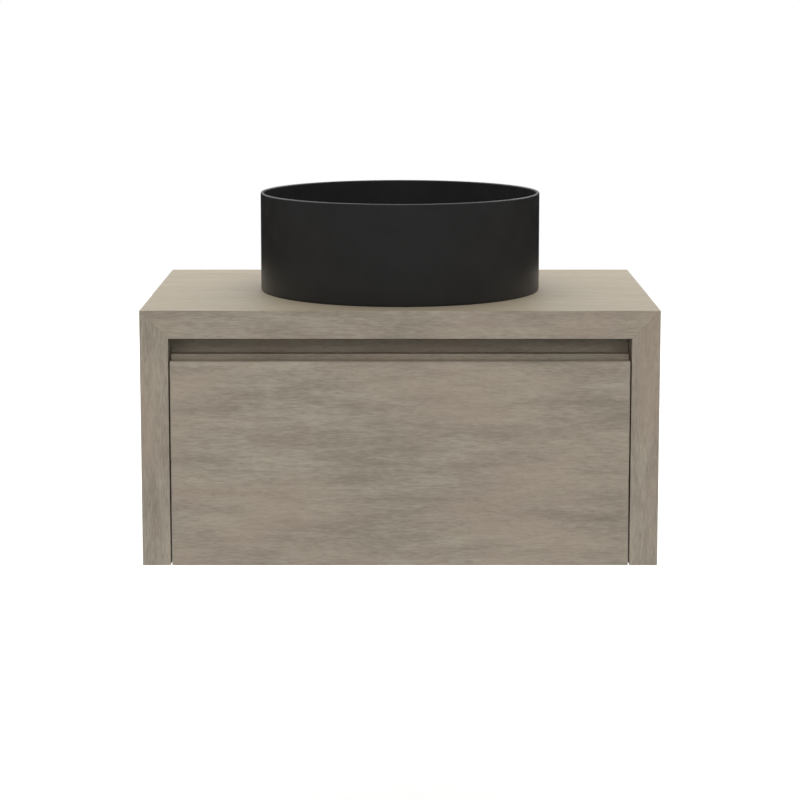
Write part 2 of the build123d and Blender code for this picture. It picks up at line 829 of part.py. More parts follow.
with BuildPart() as drawer_subfront:
    box_between((-box_inner, front_back, box_bottom), (box_inner, box_front, box_top))
    box_between(
        (-box_inner, box_front - floor_groove, floor_low),
        (box_inner, box_front, floor_top),
        mode=Mode.SUBTRACT,
    )
    cut_dowel_holes(box_dowels_at)
    with Locations(*[Location((x, box_front, z), (90, 0, 0)) for x, z in front_screws_at]):
        Cylinder(screw_radius + pilot_gap, 2 * box_board, mode=Mode.SUBTRACT)
save(drawer_subfront, "drawer_subfront")

for side, sign in sides:
    with BuildPart() as drawer_side:
        mirrored_box(sign, box_inner, box_half, (front_back, box_bottom), (-box_rear_gap, box_top))
        mirrored_box(
            sign,
            box_inner,
            box_inner + floor_groove,
            (box_front - floor_groove, floor_low),
            (-box_rear_gap, floor_top),
            mode=Mode.SUBTRACT,
        )
        cut_dowel_holes(box_dowels_at)
        with Locations(*[along_x(sign * box_half, y, runner_z) for y in runner_screw_y]):
            Cylinder(
                screw_radius + pilot_gap, 2 * (runner_screw_length - runner_steel), mode=Mode.SUBTRACT
            )
    save(drawer_side, f"drawer_side_{side}")

    with BuildPart() as drawer_back:
        mirrored_box(
            sign,
            notch_half + box_board,
            box_inner,
            (-box_rear_gap - box_board, floor_top),
            (-box_rear_gap, box_top),
        )
        cut_dowel_holes(box_dowels_at)
    save(drawer_back, f"drawer_back_{side}")

    with BuildPart() as trap_guard:
        mirrored_box(
            sign,
            notch_half,
            notch_half + box_board,
            (notch_front - box_board, floor_top),
            (-box_rear_gap, box_top),
        )
    save(trap_guard, f"trap_guard_{side}")

with BuildPart() as trap_guard_front:
    box_between(
        (-notch_half, notch_front - box_board, floor_top), (notch_half, notch_front, box_top)
    )
save(trap_guard_front, "trap_guard_front")

with BuildPart() as drawer_bottom:
    box_between(
        (-box_inner - groove_reach, box_front - groove_reach, floor_low),
        (box_inner + groove_reach, -box_rear_gap, floor_top),
    )
    box_between(
        (-notch_half, notch_front, floor_low), (notch_half, -box_rear_gap, floor_top), mode=Mode.SUBTRACT
    )
save(drawer_bottom, "drawer_bottom")

with BuildPart() as drawer_dowels:
    with Locations(*box_dowels_at):
        Cylinder(dowel_radius, dowel_length)
save(drawer_dowels, "drawer_dowels")

with BuildPart() as front_screws:
    with Locations(
        *[
            Location((x, box_front + front_screw_head_height / 2, z), (90, 0, 0))
            for x, z in front_screws_at
        ]
    ):
        Cylinder(front_screw_head_radius, front_screw_head_height)
    with Locations(
        *[Location((x, box_front - front_screw_length / 2, z), (90, 0, 0)) for x, z in front_screws_at]
    ):
        Cylinder(screw_radius, front_screw_length)
save(front_screws, "front_screws")
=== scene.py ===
"""Wall-hung vanity with a black vessel sink: oak decor cabinet, one drawer, pop-up waste and bottle trap."""

from math import pi, radians, sqrt

import bmesh
import bpy
from mathutils import Matrix, Vector


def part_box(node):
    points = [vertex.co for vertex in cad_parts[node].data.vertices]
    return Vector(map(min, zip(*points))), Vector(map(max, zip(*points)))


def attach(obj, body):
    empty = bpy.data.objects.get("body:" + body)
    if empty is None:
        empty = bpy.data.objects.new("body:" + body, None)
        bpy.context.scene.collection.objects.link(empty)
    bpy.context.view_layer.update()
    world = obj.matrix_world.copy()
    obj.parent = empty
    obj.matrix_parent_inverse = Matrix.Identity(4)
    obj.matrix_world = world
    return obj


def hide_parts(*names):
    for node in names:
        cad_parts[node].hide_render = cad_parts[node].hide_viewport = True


bl_info = {
    "name": "Vessel Sink Vanity",
    "version": (1, 0, 0),
    "blender": (4, 5, 0),
    "location": "3D View > Sidebar > Vanity",
    "description": "Builds a wall-hung vanity with a vessel sink round its measured frame",
    "category": "Add Mesh",
}

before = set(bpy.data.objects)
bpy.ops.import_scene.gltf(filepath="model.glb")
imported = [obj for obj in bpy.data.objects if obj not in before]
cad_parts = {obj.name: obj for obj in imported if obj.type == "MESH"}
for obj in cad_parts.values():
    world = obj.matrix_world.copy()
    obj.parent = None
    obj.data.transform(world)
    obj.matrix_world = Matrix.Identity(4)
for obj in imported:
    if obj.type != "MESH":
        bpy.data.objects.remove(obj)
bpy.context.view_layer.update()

MM = 0.001
SIDES = ("left", "right")
# From the edge of the waste's flange in to its tail, in millimetres
TAIL_STEP = 12.25


def linear(text):
    """Linear RGB of an sRGB hex colour."""
    parts = [int(text[i : i + 2], 16) / 255 for i in (1, 3, 5)]
    return tuple(p / 12.92 if p <= 0.04045 else ((p + 0.055) / 1.055) ** 2.4 for p in parts)


# ---- Places, from the frame ----

basin_low, basin_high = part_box("vessel_basin")
basin_axis = (basin_low + basin_high) / 2
outlet_axis_z = sum(corner.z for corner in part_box("trap_outlet_pipe")) / 2


def height_of(node):
    """Lowest and highest point of a node above the frame's origin, in millimetres."""
    low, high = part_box(node)
    return low.z / MM, high.z / MM


def radius_of(node):
    """Half the width of a round node, in millimetres."""
    low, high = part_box(node)
    return (high.x - low.x) / 2 / MM


# ---- Sizes and colours that a user would change ----


def length(name, description, default):
    """A size in millimetres, kept in metres."""
    return bpy.props.FloatProperty(
        name=name, description=description, default=default * MM, unit="LENGTH", precision=5
    )


def colour(name, description, default):
    """A colour given as sRGB hex."""
    return bpy.props.FloatVectorProperty(
        name=name, description=description, default=linear(default), subtype="COLOR", min=0, max=1
    )


class BoardSettings(bpy.types.PropertyGroup):
    """Boards, their edge bands and their decor."""

    band: length("Edge Band", "Thickness of the edge bands", 1)
    edge: length("Edge Rounding", "Rounding of the board edges", 0.35)
    front_edge: length("Front Edge Rounding", "Rounding of the drawer front's edge bands", 0.9)
    oak_light: colour("Oak Light", "Light tone of the oak decor", "#AAA191")
    oak_dark: colour("Oak Dark", "Dark tone of the oak decor", "#867D6F")
    # Painted light: the top's two tones are the oak's, painted a little lighter and warmer for the light that
    # falls on the top from above
    painted_lit_top_light: colour("Top Light", "Light tone of the top's warmer sheet", "#ADA28C")
    painted_lit_top_dark: colour("Top Dark", "Dark tone of the top's warmer sheet", "#8B806C")
    oak_rosy: colour("Oak Rosy", "Rosy tone of the decor's slow clouds", "#A49384")
    oak_pore: colour("Oak Pore", "Open pores of the oak decor", "#685C4F")
    melamine_light: colour("Melamine Light", "Light tone of the inner boards", "#C8C5BF")
    melamine_dark: colour("Melamine Dark", "Dark tone of the inner boards", "#C4C1BA")
    beech_light: colour("Beech Light", "Light tone of the dowels", "#DDBB92")
    beech_dark: colour("Beech Dark", "Dark tone of the dowels", "#C39E72")


class BasinSettings(bpy.types.PropertyGroup):
    """The basin, its glaze and the sealant under it."""

    wall: length("Wall", "Thickness of the basin's wall", 5)
    foot: length("Foot Width", "Width of the ring that the basin stands on", 15)
    hollow: length("Hollow", "Depth of the hollow under the basin", 8)
    floor_edge: length("Floor Edge Height", "Height of the floor at the wall, above the base", 20)
    floor_drain: length("Floor Drain Height", "Height of the floor at the drain, above the base", 15)
    seat: length("Seat Height", "Height of the drain's seat above the base", 12)
    floor_corner: length("Floor Corner", "Radius where the wall meets the floor", 25)
    base_rounding: length("Base Rounding", "Radius of the outer lower edge", 4)
    rim_rounding: length("Rim Rounding", "Radius of the rim's edges", 2)
    segments: bpy.props.IntProperty(
        name="Segments", description="Facets round the basin", default=224, min=32
    )
    glaze: colour("Glaze", "Black glaze", "#272626")
    glaze_pool: colour("Glaze Pooled", "Glaze where it lies thicker", "#222121")
    silicone: colour("Silicone", "Sealant bead", "#1E1E1E")


class FittingSettings(bpy.types.PropertyGroup):
    """The waste, the trap and their finishes."""

    segments: bpy.props.IntProperty(
        name="Segments", description="Facets round each fitting", default=96, min=24
    )
    flutes: bpy.props.IntProperty(
        name="Flutes", description="Finger grips round each trap nut", default=12, min=3
    )
    flute_depth: length("Flute Depth", "Depth of the grips between the ribs", 1.3)
    pipe_wall: length("Pipe Wall", "Wall of the trap's pipes", 1.8)
    black_metal: colour("Black Metal", "Powder coat of the waste", "#161616")
    plastic: colour("White Plastic", "Moulded trap parts", "#E9E8E3")
    rubber: colour("Rubber", "Sealing rings", "#232323")
    brass: colour("Brass", "Click cartridge", "#C9A765")


class HardwareSettings(bpy.types.PropertyGroup):
    """Runners, hangers and screws."""

    steel_rounding: length("Steel Rounding", "Rounding of the pressed steel edges", 0.35)
    screw_head: length("Screw Head", "Radius of the small screw heads", 3.5)
    front_screw_head: length("Front Screw Head", "Radius of the drawer front's screw heads", 4)
    recess: length("Recess Length", "Length of the cross recess in a screw head", 4)
    ball: length("Ball", "Radius of the bearing balls", 1.7)
    zinc: colour("Zinc", "Bright zinc plate", "#C4C6C8")
    zinc_dull: colour("Zinc Dull", "Dull patches in the zinc plate", "#A9ABAE")
    bearing: colour("Bearing Steel", "Polished balls and cages", "#B9BABC")
    hanger: colour("Hanger Plastic", "Cabinet hangers", "#DFDED9")


class StageSettings(bpy.types.PropertyGroup):
    """Camera, floor and lights."""

    floor_drop: length("Floor Drop", "Height of the cabinet above the floor", 500)
    floor: colour("Floor", "Pale studio floor", "#F5F5F5")
    camera_y: length("Camera Distance", "Camera's place in front of the wall", -3404.3)
    camera_z: length("Camera Height", "Camera's height above the cabinet's lower edge", 771.2)
    camera_pitch: bpy.props.FloatProperty(
        name="Camera Pitch", description="How far the camera looks down", default=radians(
            7.527
        ), subtype="ANGLE"
    )
    camera_lens: bpy.props.FloatProperty(
        name="Lens", description="Focal length in millimetres", default=100.15
    )
    camera_shift: bpy.props.FloatProperty(
        name="Lens Shift", description="Upright shift of the lens", default=-0.14
    )


SETTINGS = {
    "vanity_boards": BoardSettings,
    "vanity_basin": BasinSettings,
    "vanity_fittings": FittingSettings,
    "vanity_hardware": HardwareSettings,
    "vanity_stage": StageSettings,
}


# ---- Nodes ----


def add(tree, kind, inputs=None, **settings):
    """Adds a node with its settings; an input given a socket is linked to it."""
    node = tree.nodes.new(kind)
    for name, value in settings.items():
        setattr(node, name, value)
    for name, value in (inputs or {}).items():
        if isinstance(value, bpy.types.NodeSocket):
            tree.links.new(value, node.inputs[name])
        else:
            node.inputs[name].default_value = value
    return node


def solid_colour(rgb):
    """RGB with full alpha, as a colour socket takes it."""
    return (*rgb, 1)


# ---- Materials ----


def grain(tree, size, stretch=(1, 1, 1), detail=3, roughness=0.55, place=(0, 0, 0)):
    """Noise whose features are size millimetres, drawn out by stretch along X, Y and Z."""
    scale = [1 / (size * MM * s) for s in stretch]
    at = add(tree, "ShaderNodeTexCoord").outputs["Object"]
    mapped = add(tree, "ShaderNodeMapping", {"Vector": at, "Scale": scale, "Location": place})
    noise = add(
        tree,
        "ShaderNodeTexNoise",
        {"Vector": mapped.outputs[0], "Scale": 1, "Detail": detail, "Roughness": roughness},
    )
    return noise.outputs[0]


def spread(tree, value, low, high, to_low=0, to_high=1):
    """A value's stretch low..high mapped to to_low..to_high, with soft ends."""
    return add(
        tree,
        "ShaderNodeMapRange",
        {"Value": value, "From Min": low, "From Max": high, "To Min": to_low, "To Max": to_high},
        interpolation_type="SMOOTHSTEP",
    ).outputs[0]


def blended(tree, factor, first, second):
    """Colour first where factor is 0 and second where it is 1."""
    node = add(tree, "ShaderNodeMix", {0: factor, 6: first, 7: second}, data_type="RGBA")
    return node.outputs[2]


def new_material(name):
    """An empty material's node tree, ready for its shader."""
    material = bpy.data.materials.new(name)
    material.use_nodes = True
    material.node_tree.nodes.clear()
    return material, material.node_tree


def finish_material(tree, base, roughness, height, relief, **constants):
    """Ends a tree in the shader, with relief as the bump's height in millimetres."""
    bump = add(tree, "ShaderNodeBump", {"Height": height, "Distance": relief * MM, "Strength": 1})
    inputs = {"Base Color": base, "Roughness": roughness, "Normal": bump.outputs[0]}
    inputs.update({name.replace("_", " "): value for name, value in constants.items()})
    shader = add(tree, "ShaderNodeBsdfPrincipled", inputs)
    add(tree, "ShaderNodeOutputMaterial", {"Surface": shader.outputs[0]})


def oak_decor(name, along, light, dark, contrast=1):
    """Oak decor printed and pressed on melamine-faced board, with its grain along X or Z.

    The eye sees short straight fibres, thin darker pores, slow clouds that drift from sand to rose, and a
    dull, slightly uneven pressed surface."""
    material, tree = new_material(name)
    settings = bpy.context.scene.vanity_boards

    def drawn_out(across, ratio, **more):
        return grain(tree, across, [ratio if axis == along else 1 for axis in "XYZ"], **more)

    fibre = drawn_out(1.7, 9)
    bands = drawn_out(11, 9, detail=2)
    clouds = drawn_out(26, 5, detail=3)
    drift = drawn_out(80, 2.2, detail=2, place=(2, 9, 4))
    pores = drawn_out(1.1, 9, detail=1, place=(7, 3, 5))
    tone = -0.05
    for part, share in ((fibre, 0.46), (bands, 0.28), (clouds, 0.36)):
        tone = add(tree, "ShaderNodeMath", {0: part, 1: share, 2: tone}, operation="MULTIPLY_ADD").outputs[0]
    half = 0.2 / contrast
    wood = blended(tree, spread(tree, tone, 0.5 - half, 0.5 + half), solid_colour(dark), solid_colour(light))
    wood = blended(
        tree, spread(tree, drift, 0.4, 0.7, 0, 0.5 * contrast), wood, solid_colour(settings.oak_rosy)
    )
    pore_mask = spread(tree, pores, 0.6, 0.74, 0, 0.4 * contrast)
    wood = blended(tree, pore_mask, wood, solid_colour(settings.oak_pore))
    height = add(tree, "ShaderNodeMath", {0: tone, 1: pore_mask}, operation="SUBTRACT").outputs[0]
    finish_material(tree, wood, spread(tree, tone, 0.3, 0.7, 0.62, 0.5), height, 0.06, IOR=1.5)
    return material


def mottled(name, light, dark, size, roughness, relief, stretch=(1, 1, 1), **constants):
    """Two close tones mixed by fine noise of size millimetres, which also sets the bump and the sheen."""
    material, tree = new_material(name)
    speck = grain(tree, size, stretch, detail=4)
    slow = grain(tree, size * 22, stretch, detail=2)
    both = 0
    for part in (speck, slow):
        both = add(tree, "ShaderNodeMath", {0: part, 1: 0.5, 2: both}, operation="MULTIPLY_ADD").outputs[0]
    base = blended(tree, spread(tree, both, 0.3, 0.7), solid_colour(dark), solid_colour(light))
    low, high = roughness
    finish_material(tree, base, spread(tree, both, 0.3, 0.7, low, high), speck, relief, **constants)
    return material


def shade(rgb, share):
    """A colour with its brightness multiplied by share."""
    return [share * part for part in rgb]


def kept(name, build, *parts, **constants):
    """The material of that name, built once."""
    return bpy.data.materials.get(name) or build(name, *parts, **constants)


def oak_top_painted_lit():
    """The top's quieter oak sheet, its tones painted a little lighter and warmer for the light that falls on
    the top from above.
    """
    boards = bpy.context.scene.vanity_boards
    return kept("Oak Decor Melamine, Quiet Top", oak_decor, "X", boards.painted_lit_top_light, boards.painted_lit_top_dark, 0.3)


def oak_across():
    """Grain that runs from side to side, on the drawer front, the recess and the top's edge band."""
    boards = bpy.context.scene.vanity_boards
    return kept("Oak Decor Melamine, Grain Across", oak_decor, "X", boards.oak_light, boards.oak_dark)


def oak_upright():
    """Grain that runs up the side panels."""
    boards = bpy.context.scene.vanity_boards
    return kept("Oak Decor Melamine, Grain Upright", oak_decor, "Z", boards.oak_light, boards.oak_dark)


def light_melamine():
    """Plain light grey melamine: a fine pearl texture from the press plate and almost no colour change."""
    boards = bpy.context.scene.vanity_boards
    tones = boards.melamine_light, boards.melamine_dark
    return kept("Light Grey Melamine, Pearl Pressed", mottled, *tones, 0.9, (0.45, 0.5), 0.03, IOR=1.5)


def beech():
    """Turned beech dowel: straight fine fibres and dry, dull sides."""
    boards = bpy.context.scene.vanity_boards
    tones = boards.beech_light, boards.beech_dark
    return kept("Beech, Turned", mottled, *tones, 0.5, (0.65, 0.8), 0.04, (8, 1, 1), IOR=1.5)


def black_glaze():
    """Satin black glaze fired on stoneware: nearly black, a soft sheen that wavers, and a very fine skin."""
    basin = bpy.context.scene.vanity_basin
    tones = basin.glaze, basin.glaze_pool
    return kept("Black Glaze, Satin Fired", mottled, *tones, 1.4, (0.36, 0.46), 0.012, IOR=1.45)


def black_silicone():
    """Sanitary silicone, tooled while wet: smooth, slightly wavy and softly shiny."""
    basin = bpy.context.scene.vanity_basin
    tones = basin.silicone, basin.glaze
    return kept("Silicone Sealant, Tooled", mottled, *tones, 3, (0.35, 0.45), 0.05, IOR=1.41)


def black_metal():
    """Brass with a black powder coat: even colour with a fine orange-peel skin."""
    black = bpy.context.scene.vanity_fittings.black_metal
    tones = black, shade(black, 0.8)
    return kept("Brass, Black Powder Coat", mottled, *tones, 0.8, (0.33, 0.45), 0.02, IOR=1.5)


def white_plastic():
    """Injection-moulded polypropylene: slightly waxy, with faint flow clouds."""
    white = bpy.context.scene.vanity_fittings.plastic
    tones = white, shade(white, 0.9)
    waxy = {"Subsurface_Weight": 0.06, "IOR": 1.49}
    return kept("Polypropylene, Moulded White", mottled, *tones, 1.2, (0.36, 0.46), 0.02, **waxy)


def rubber():
    """Pressed rubber ring: matt, dark, with a dusty bloom."""
    dark = bpy.context.scene.vanity_fittings.rubber
    tones = shade(dark, 1.8), dark
    return kept("Rubber, Pressed", mottled, *tones, 1.0, (0.7, 0.85), 0.05, IOR=1.52)


def brass():
    """Turned brass: warm metal with fine rings from the tool, drawn coarse enough to show."""
    warm = bpy.context.scene.vanity_fittings.brass
    tones = warm, shade(warm, 0.75)
    return kept("Brass, Turned", mottled, *tones, 0.6, (0.2, 0.34), 0.02, (10, 10, 1), Metallic=1)


def zinc():
    """Pressed steel strip with bright zinc plate: cloudy patches and faint rolling marks along its length."""
    hardware = bpy.context.scene.vanity_hardware
    tones = hardware.zinc, hardware.zinc_dull
    return kept("Steel, Bright Zinc Plate", mottled, *tones, 0.8, (0.26, 0.42), 0.01, (1, 14, 1), Metallic=1)


def bearing_steel():
    """Polished bearing steel: clean and bright with the lightest haze."""
    bright = bpy.context.scene.vanity_hardware.bearing
    tones = bright, shade(bright, 0.85)
    return kept("Bearing Steel, Polished", mottled, *tones, 0.7, (0.12, 0.24), 0.005, Metallic=1)


def hanger_plastic():
    """Glass-filled nylon: off-white and dull, with faint swirls of fibre."""
    white = bpy.context.scene.vanity_hardware.hanger
    tones = white, shade(white, 0.86)
    return kept("Nylon, Glass Filled", mottled, *tones, 1.6, (0.5, 0.64), 0.05, (1, 4, 1), IOR=1.53)


# ---- Meshes ----


def clean_copy(node, reshape=None):
    """A CAD piece as merged polygons in a bmesh; reshape moves its points first."""
    shape = bmesh.new()
    shape.from_mesh(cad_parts[node].data)
    bmesh.ops.remove_doubles(shape, verts=shape.verts, dist=0.01 * MM)
    bmesh.ops.dissolve_limit(shape, angle_limit=radians(1), verts=shape.verts, edges=shape.edges)
    if reshape:
        for vertex in shape.verts:
            reshape(vertex.co)
    return shape


def rounded(shape, width, segments=2, angle=30):
    """Rounds a bmesh's sharp edges by width and returns it as a mesh."""
    sharp = [e for e in shape.edges if len(e.link_faces) == 2 and e.calc_face_angle() > radians(angle)]
    bmesh.ops.bevel(
        shape,
        geom=sharp,
        offset=width,
        offset_type="OFFSET",
        segments=segments,
        profile=0.5,
        affect="EDGES",
        clamp_overlap=True,
    )
    mesh = bpy.data.meshes.new("rounded")
    shape.to_mesh(mesh)
    shape.free()
    return mesh


def softened(node, width, reshape=None, segments=2):
    """A CAD piece as a mesh with its sharp edges rounded by width."""
    return rounded(clean_copy(node, reshape), width, segments)


def prism(outline, depth, edge):
    """A rounded solid between two depths along Y whose outline is given in metres, in the XZ plane."""
    shape = bmesh.new()
    near, far = [[shape.verts.new((x, y, z)) for x, z in outline] for y in depth]
    shape.faces.new(near)
    shape.faces.new(list(reversed(far)))
    for i in range(len(outline)):
        j = (i + 1) % len(outline)
        shape.faces.new([near[j], near[i], far[i], far[j]])
    bmesh.ops.recalc_face_normals(shape, faces=shape.faces)
    return rounded(shape, edge)


def slab(low, high, edge):
    """A rounded block between two corners, for a strip of edge band or a bar."""
    (left, near, under), (right, far, over) = low, high
    return prism([(left, under), (right, under), (right, over), (left, over)], (near, far), edge)


def joined(meshes):
    """Several meshes as one."""
    shape = bmesh.new()
    for mesh in meshes:
        shape.from_mesh(mesh)
    whole = bpy.data.meshes.new("joined")
    shape.to_mesh(whole)
    shape.free()
    return whole


def evaluated(mesh, tree=None, values=None):
    """The mesh after a node tree has run on it, with its normals weighted by face and no modifier left."""
    holder = bpy.data.objects.new("Holder", mesh)
    bpy.context.scene.collection.objects.link(holder)
    if tree:
        modifier = holder.modifiers.new("Shape", "NODES")
        modifier.node_group = tree
        sockets = {s.name: s.identifier for s in tree.interface.items_tree if s.in_out == "INPUT"}
        for name, value in values.items():
            modifier[sockets[name]] = value
    weighted = holder.modifiers.new("Normals", "WEIGHTED_NORMAL")
    weighted.keep_sharp = True
    graph = bpy.context.evaluated_depsgraph_get()
    result = bpy.data.meshes.new_from_object(holder.evaluated_get(graph), depsgraph=graph)
    holder.modifiers.clear()
    bpy.data.objects.remove(holder)
    return result


def hand_over(name, mesh, finish, body, slot, *nodes):
    """Makes a mesh a finished piece: its material, its body and the nodes that it stands for; slot is not
    used.
    """
    if not mesh.polygons:
        raise RuntimeError(f"{name} has no faces")
    mesh.name = name
    mesh.materials.clear()
    mesh.materials.append(finish)
    piece = bpy.data.objects.new(name, mesh)
    bpy.context.scene.collection.objects.link(piece)
    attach(piece, body)
    if nodes:
        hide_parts(*nodes)


def board(name, mesh, finish, body, slot, *nodes):
    """A flat-sided piece: smooth over its rounded edges and flat between them."""
    mesh.shade_smooth()
    mesh.set_sharp_from_angle(angle=radians(40))
    hand_over(name, evaluated(mesh), finish, body, slot, *nodes)


def soft_board(name, node, width, finish, body, slot, reshape=None, segments=2):
    """A piece that stands for one CAD piece: its copy with sharp edges rounded by width."""
    board(name, softened(node, width, reshape, segments), finish, body, slot, node)


# ---- Node trees for shapes ----


def shape_tree(name, sockets):
    """A geometry node tree with those named inputs, its group input node and a function that ends it."""
    tree = bpy.data.node_groups.new(name, "GeometryNodeTree")
    for label, kind in sockets.items():
        tree.interface.new_socket(name=label, in_out="INPUT", socket_type=f"NodeSocket{kind}")
    tree.interface.new_socket(name="Piece", in_out="OUTPUT", socket_type="NodeSocketGeometry")
    given = add(tree, "NodeGroupInput").outputs

    def end(geometry):
        real = add(tree, "GeometryNodeRealizeInstances", {"Geometry": geometry})
        finished = add(
            tree, "GeometryNodeSetMaterial", {"Geometry": real.outputs[0], "Material": given["Finish"]}
        )
        add(tree, "NodeGroupOutput", {"Piece": finished.outputs[0]})

    return tree, given, end


def turned_tree():
    """Turns a section about an axis: rounds its corners, sweeps it round and cuts flutes in its side."""
    tree, given, end = shape_tree(
        "Turned Piece",
        {
            "Section": "Geometry",
            "Segments": "Int",
            "Flutes": "Int",
            "Flute Depth": "Float",
            "Flute From": "Float",
            "Crease": "Float",
            "Tilt": "Vector",
            "Centre": "Vector",
            "Finish": "Material",
        },
    )
    path_radius = 0.1
    curve = add(tree, "GeometryNodeMeshToCurve", {"Mesh": given["Section"]})
    corner = add(tree, "GeometryNodeInputNamedAttribute", {"Name": "corner"}, data_type="FLOAT")
    filleted = add(
        tree,
        "GeometryNodeFilletCurve",
        {"Curve": curve.outputs[0], "Radius": corner.outputs["Attribute"], "Count": 8, "Limit Radius": True},
        mode="POLY",
    )
    profile = add(
        tree, "GeometryNodeTransform", {"Geometry": filleted.outputs[0], "Translation": (-path_radius, 0, 0)}
    )
    circle = add(
        tree, "GeometryNodeCurvePrimitiveCircle", {"Resolution": given["Segments"], "Radius": path_radius}
    )
    swept = add(
        tree, "GeometryNodeCurveToMesh", {"Curve": circle.outputs[0], "Profile Curve": profile.outputs[0]}
    )
    merged = add(tree, "GeometryNodeMergeByDistance", {"Geometry": swept.outputs[0], "Distance": 0.001 * MM})
    # A sweep hangs its section upside down, and half a turn about X puts it upright again
    upright = add(tree, "GeometryNodeTransform", {"Geometry": merged.outputs[0], "Rotation": (pi, 0, 0)})
    place = add(tree, "GeometryNodeInputPosition").outputs[0]
    parts = add(tree, "ShaderNodeSeparateXYZ", {0: place}).outputs
    level = add(tree, "ShaderNodeCombineXYZ", {"X": parts["X"], "Y": parts["Y"]}).outputs[0]
    reach = add(tree, "ShaderNodeVectorMath", {0: level}, operation="LENGTH").outputs["Value"]
    outward = add(tree, "ShaderNodeVectorMath", {0: level}, operation="NORMALIZE").outputs[0]
    turn = add(tree, "ShaderNodeMath", {0: parts["Y"], 1: parts["X"]}, operation="ARCTAN2").outputs[0]
    wave = add(tree, "ShaderNodeMath", {0: turn, 1: given["Flutes"]}, operation="MULTIPLY").outputs[0]
    wave = add(tree, "ShaderNodeMath", {0: wave}, operation="COSINE").outputs[0]
    cut = add(
        tree,
        "ShaderNodeMapRange",
        {"Value": wave, "From Min": -1, "From Max": 0.6, "To Min": given["Flute Depth"], "To Max": 0},
        interpolation_type="SMOOTHSTEP",
    ).outputs[0]
    inward = add(tree, "ShaderNodeMath", {0: cut, 1: -1}, operation="MULTIPLY").outputs[0]
    move = add(tree, "ShaderNodeVectorMath", {0: outward, "Scale": inward}, operation="SCALE").outputs[0]
    outer = add(tree, "FunctionNodeCompare", {0: reach, 1: given["Flute From"]}, operation="GREATER_THAN")
    fluted = add(
        tree,
        "GeometryNodeSetPosition",
        {"Geometry": upright.outputs[0], "Selection": outer.outputs[0], "Offset": move},
    )
    angle = add(tree, "GeometryNodeInputMeshEdgeAngle").outputs["Unsigned Angle"]
    crease = add(tree, "FunctionNodeCompare", {0: angle, 1: given["Crease"]}, operation="GREATER_THAN")
    smooth = add(tree, "GeometryNodeSetShadeSmooth", {"Geometry": fluted.outputs[0]}, domain="FACE")
    creased = add(
        tree,
        "GeometryNodeSetShadeSmooth",
        {"Geometry": smooth.outputs[0], "Selection": crease.outputs[0], "Shade Smooth": False},
        domain="EDGE",
    )
    tilt = add(tree, "FunctionNodeEulerToRotation", {0: given["Tilt"]}).outputs[0]
    placed = add(
        tree,
        "GeometryNodeTransform",
        {"Geometry": creased.outputs[0], "Rotation": tilt, "Translation": given["Centre"]},
    )
    end(placed.outputs[0])
    return tree


def screw_tree():
    """Cuts a cross recess in a screw and sets one at each point, turned to face out and spun at random."""
    tree, given, end = shape_tree(
        "Cross Recess Screws",
        {
            "Places": "Geometry",
            "Screw": "Object",
            "Head Height": "Float",
            "Recess Length": "Float",
            "Seed": "Int",
            "Finish": "Material",
        },
    )
    screw = add(tree, "GeometryNodeObjectInfo", {"Object": given["Screw"]}).outputs["Geometry"]
    half = add(tree, "ShaderNodeMath", {0: given["Recess Length"], 1: 0.7}, operation="MULTIPLY").outputs[0]
    deep = add(tree, "ShaderNodeMath", {0: given["Head Height"], 1: 1.7}, operation="MULTIPLY").outputs[0]
    tip = add(tree, "ShaderNodeMath", {0: half, 1: 0.35}, operation="MULTIPLY").outputs[0]
    punch = add(
        tree,
        "GeometryNodeMeshCone",
        {"Vertices": 4, "Radius Top": half, "Radius Bottom": tip, "Depth": deep},
    )
    lift = add(tree, "ShaderNodeMath", {0: given["Head Height"], 1: 0.42}, operation="MULTIPLY").outputs[0]
    at_head = add(tree, "ShaderNodeCombineXYZ", {"Z": lift}).outputs[0]
    squared = add(tree, "GeometryNodeTransform", {"Geometry": punch.outputs[0], "Rotation": (0, 0, pi / 4)})
    narrow = add(tree, "GeometryNodeTransform", {"Geometry": squared.outputs[0], "Scale": (1, 0.26, 1)})
    cut = screw
    for turn in (pi / 4, 3 * pi / 4):
        where = {"Geometry": narrow.outputs[0], "Rotation": (0, 0, turn), "Translation": at_head}
        bar = add(tree, "GeometryNodeTransform", where).outputs[0]
        cut = add(
            tree, "GeometryNodeMeshBoolean", {"Mesh 1": cut, "Mesh 2": bar}, operation="DIFFERENCE"
        ).outputs[0]
    facing = add(tree, "GeometryNodeInputNamedAttribute", {"Name": "facing"}, data_type="FLOAT_VECTOR")
    aligned = add(
        tree, "FunctionNodeAlignRotationToVector", {"Vector": facing.outputs["Attribute"]}, axis="Z"
    )
    spin = add(
        tree, "FunctionNodeRandomValue", {2: 0.0, 3: 2 * pi, "Seed": given["Seed"]}, data_type="FLOAT"
    ).outputs[1]
    own = add(tree, "ShaderNodeCombineXYZ", {"Z": spin}).outputs[0]
    local = add(tree, "FunctionNodeEulerToRotation", {0: own}).outputs[0]
    set_out = add(
        tree,
        "GeometryNodeInstanceOnPoints",
        {"Points": given["Places"], "Instance": cut, "Rotation": aligned.outputs[0]},
    )
    spun = add(
        tree,
        "GeometryNodeRotateInstances",
        {"Instances": set_out.outputs[0], "Rotation": local, "Local Space": True},
    )
    end(spun.outputs[0])
    return tree


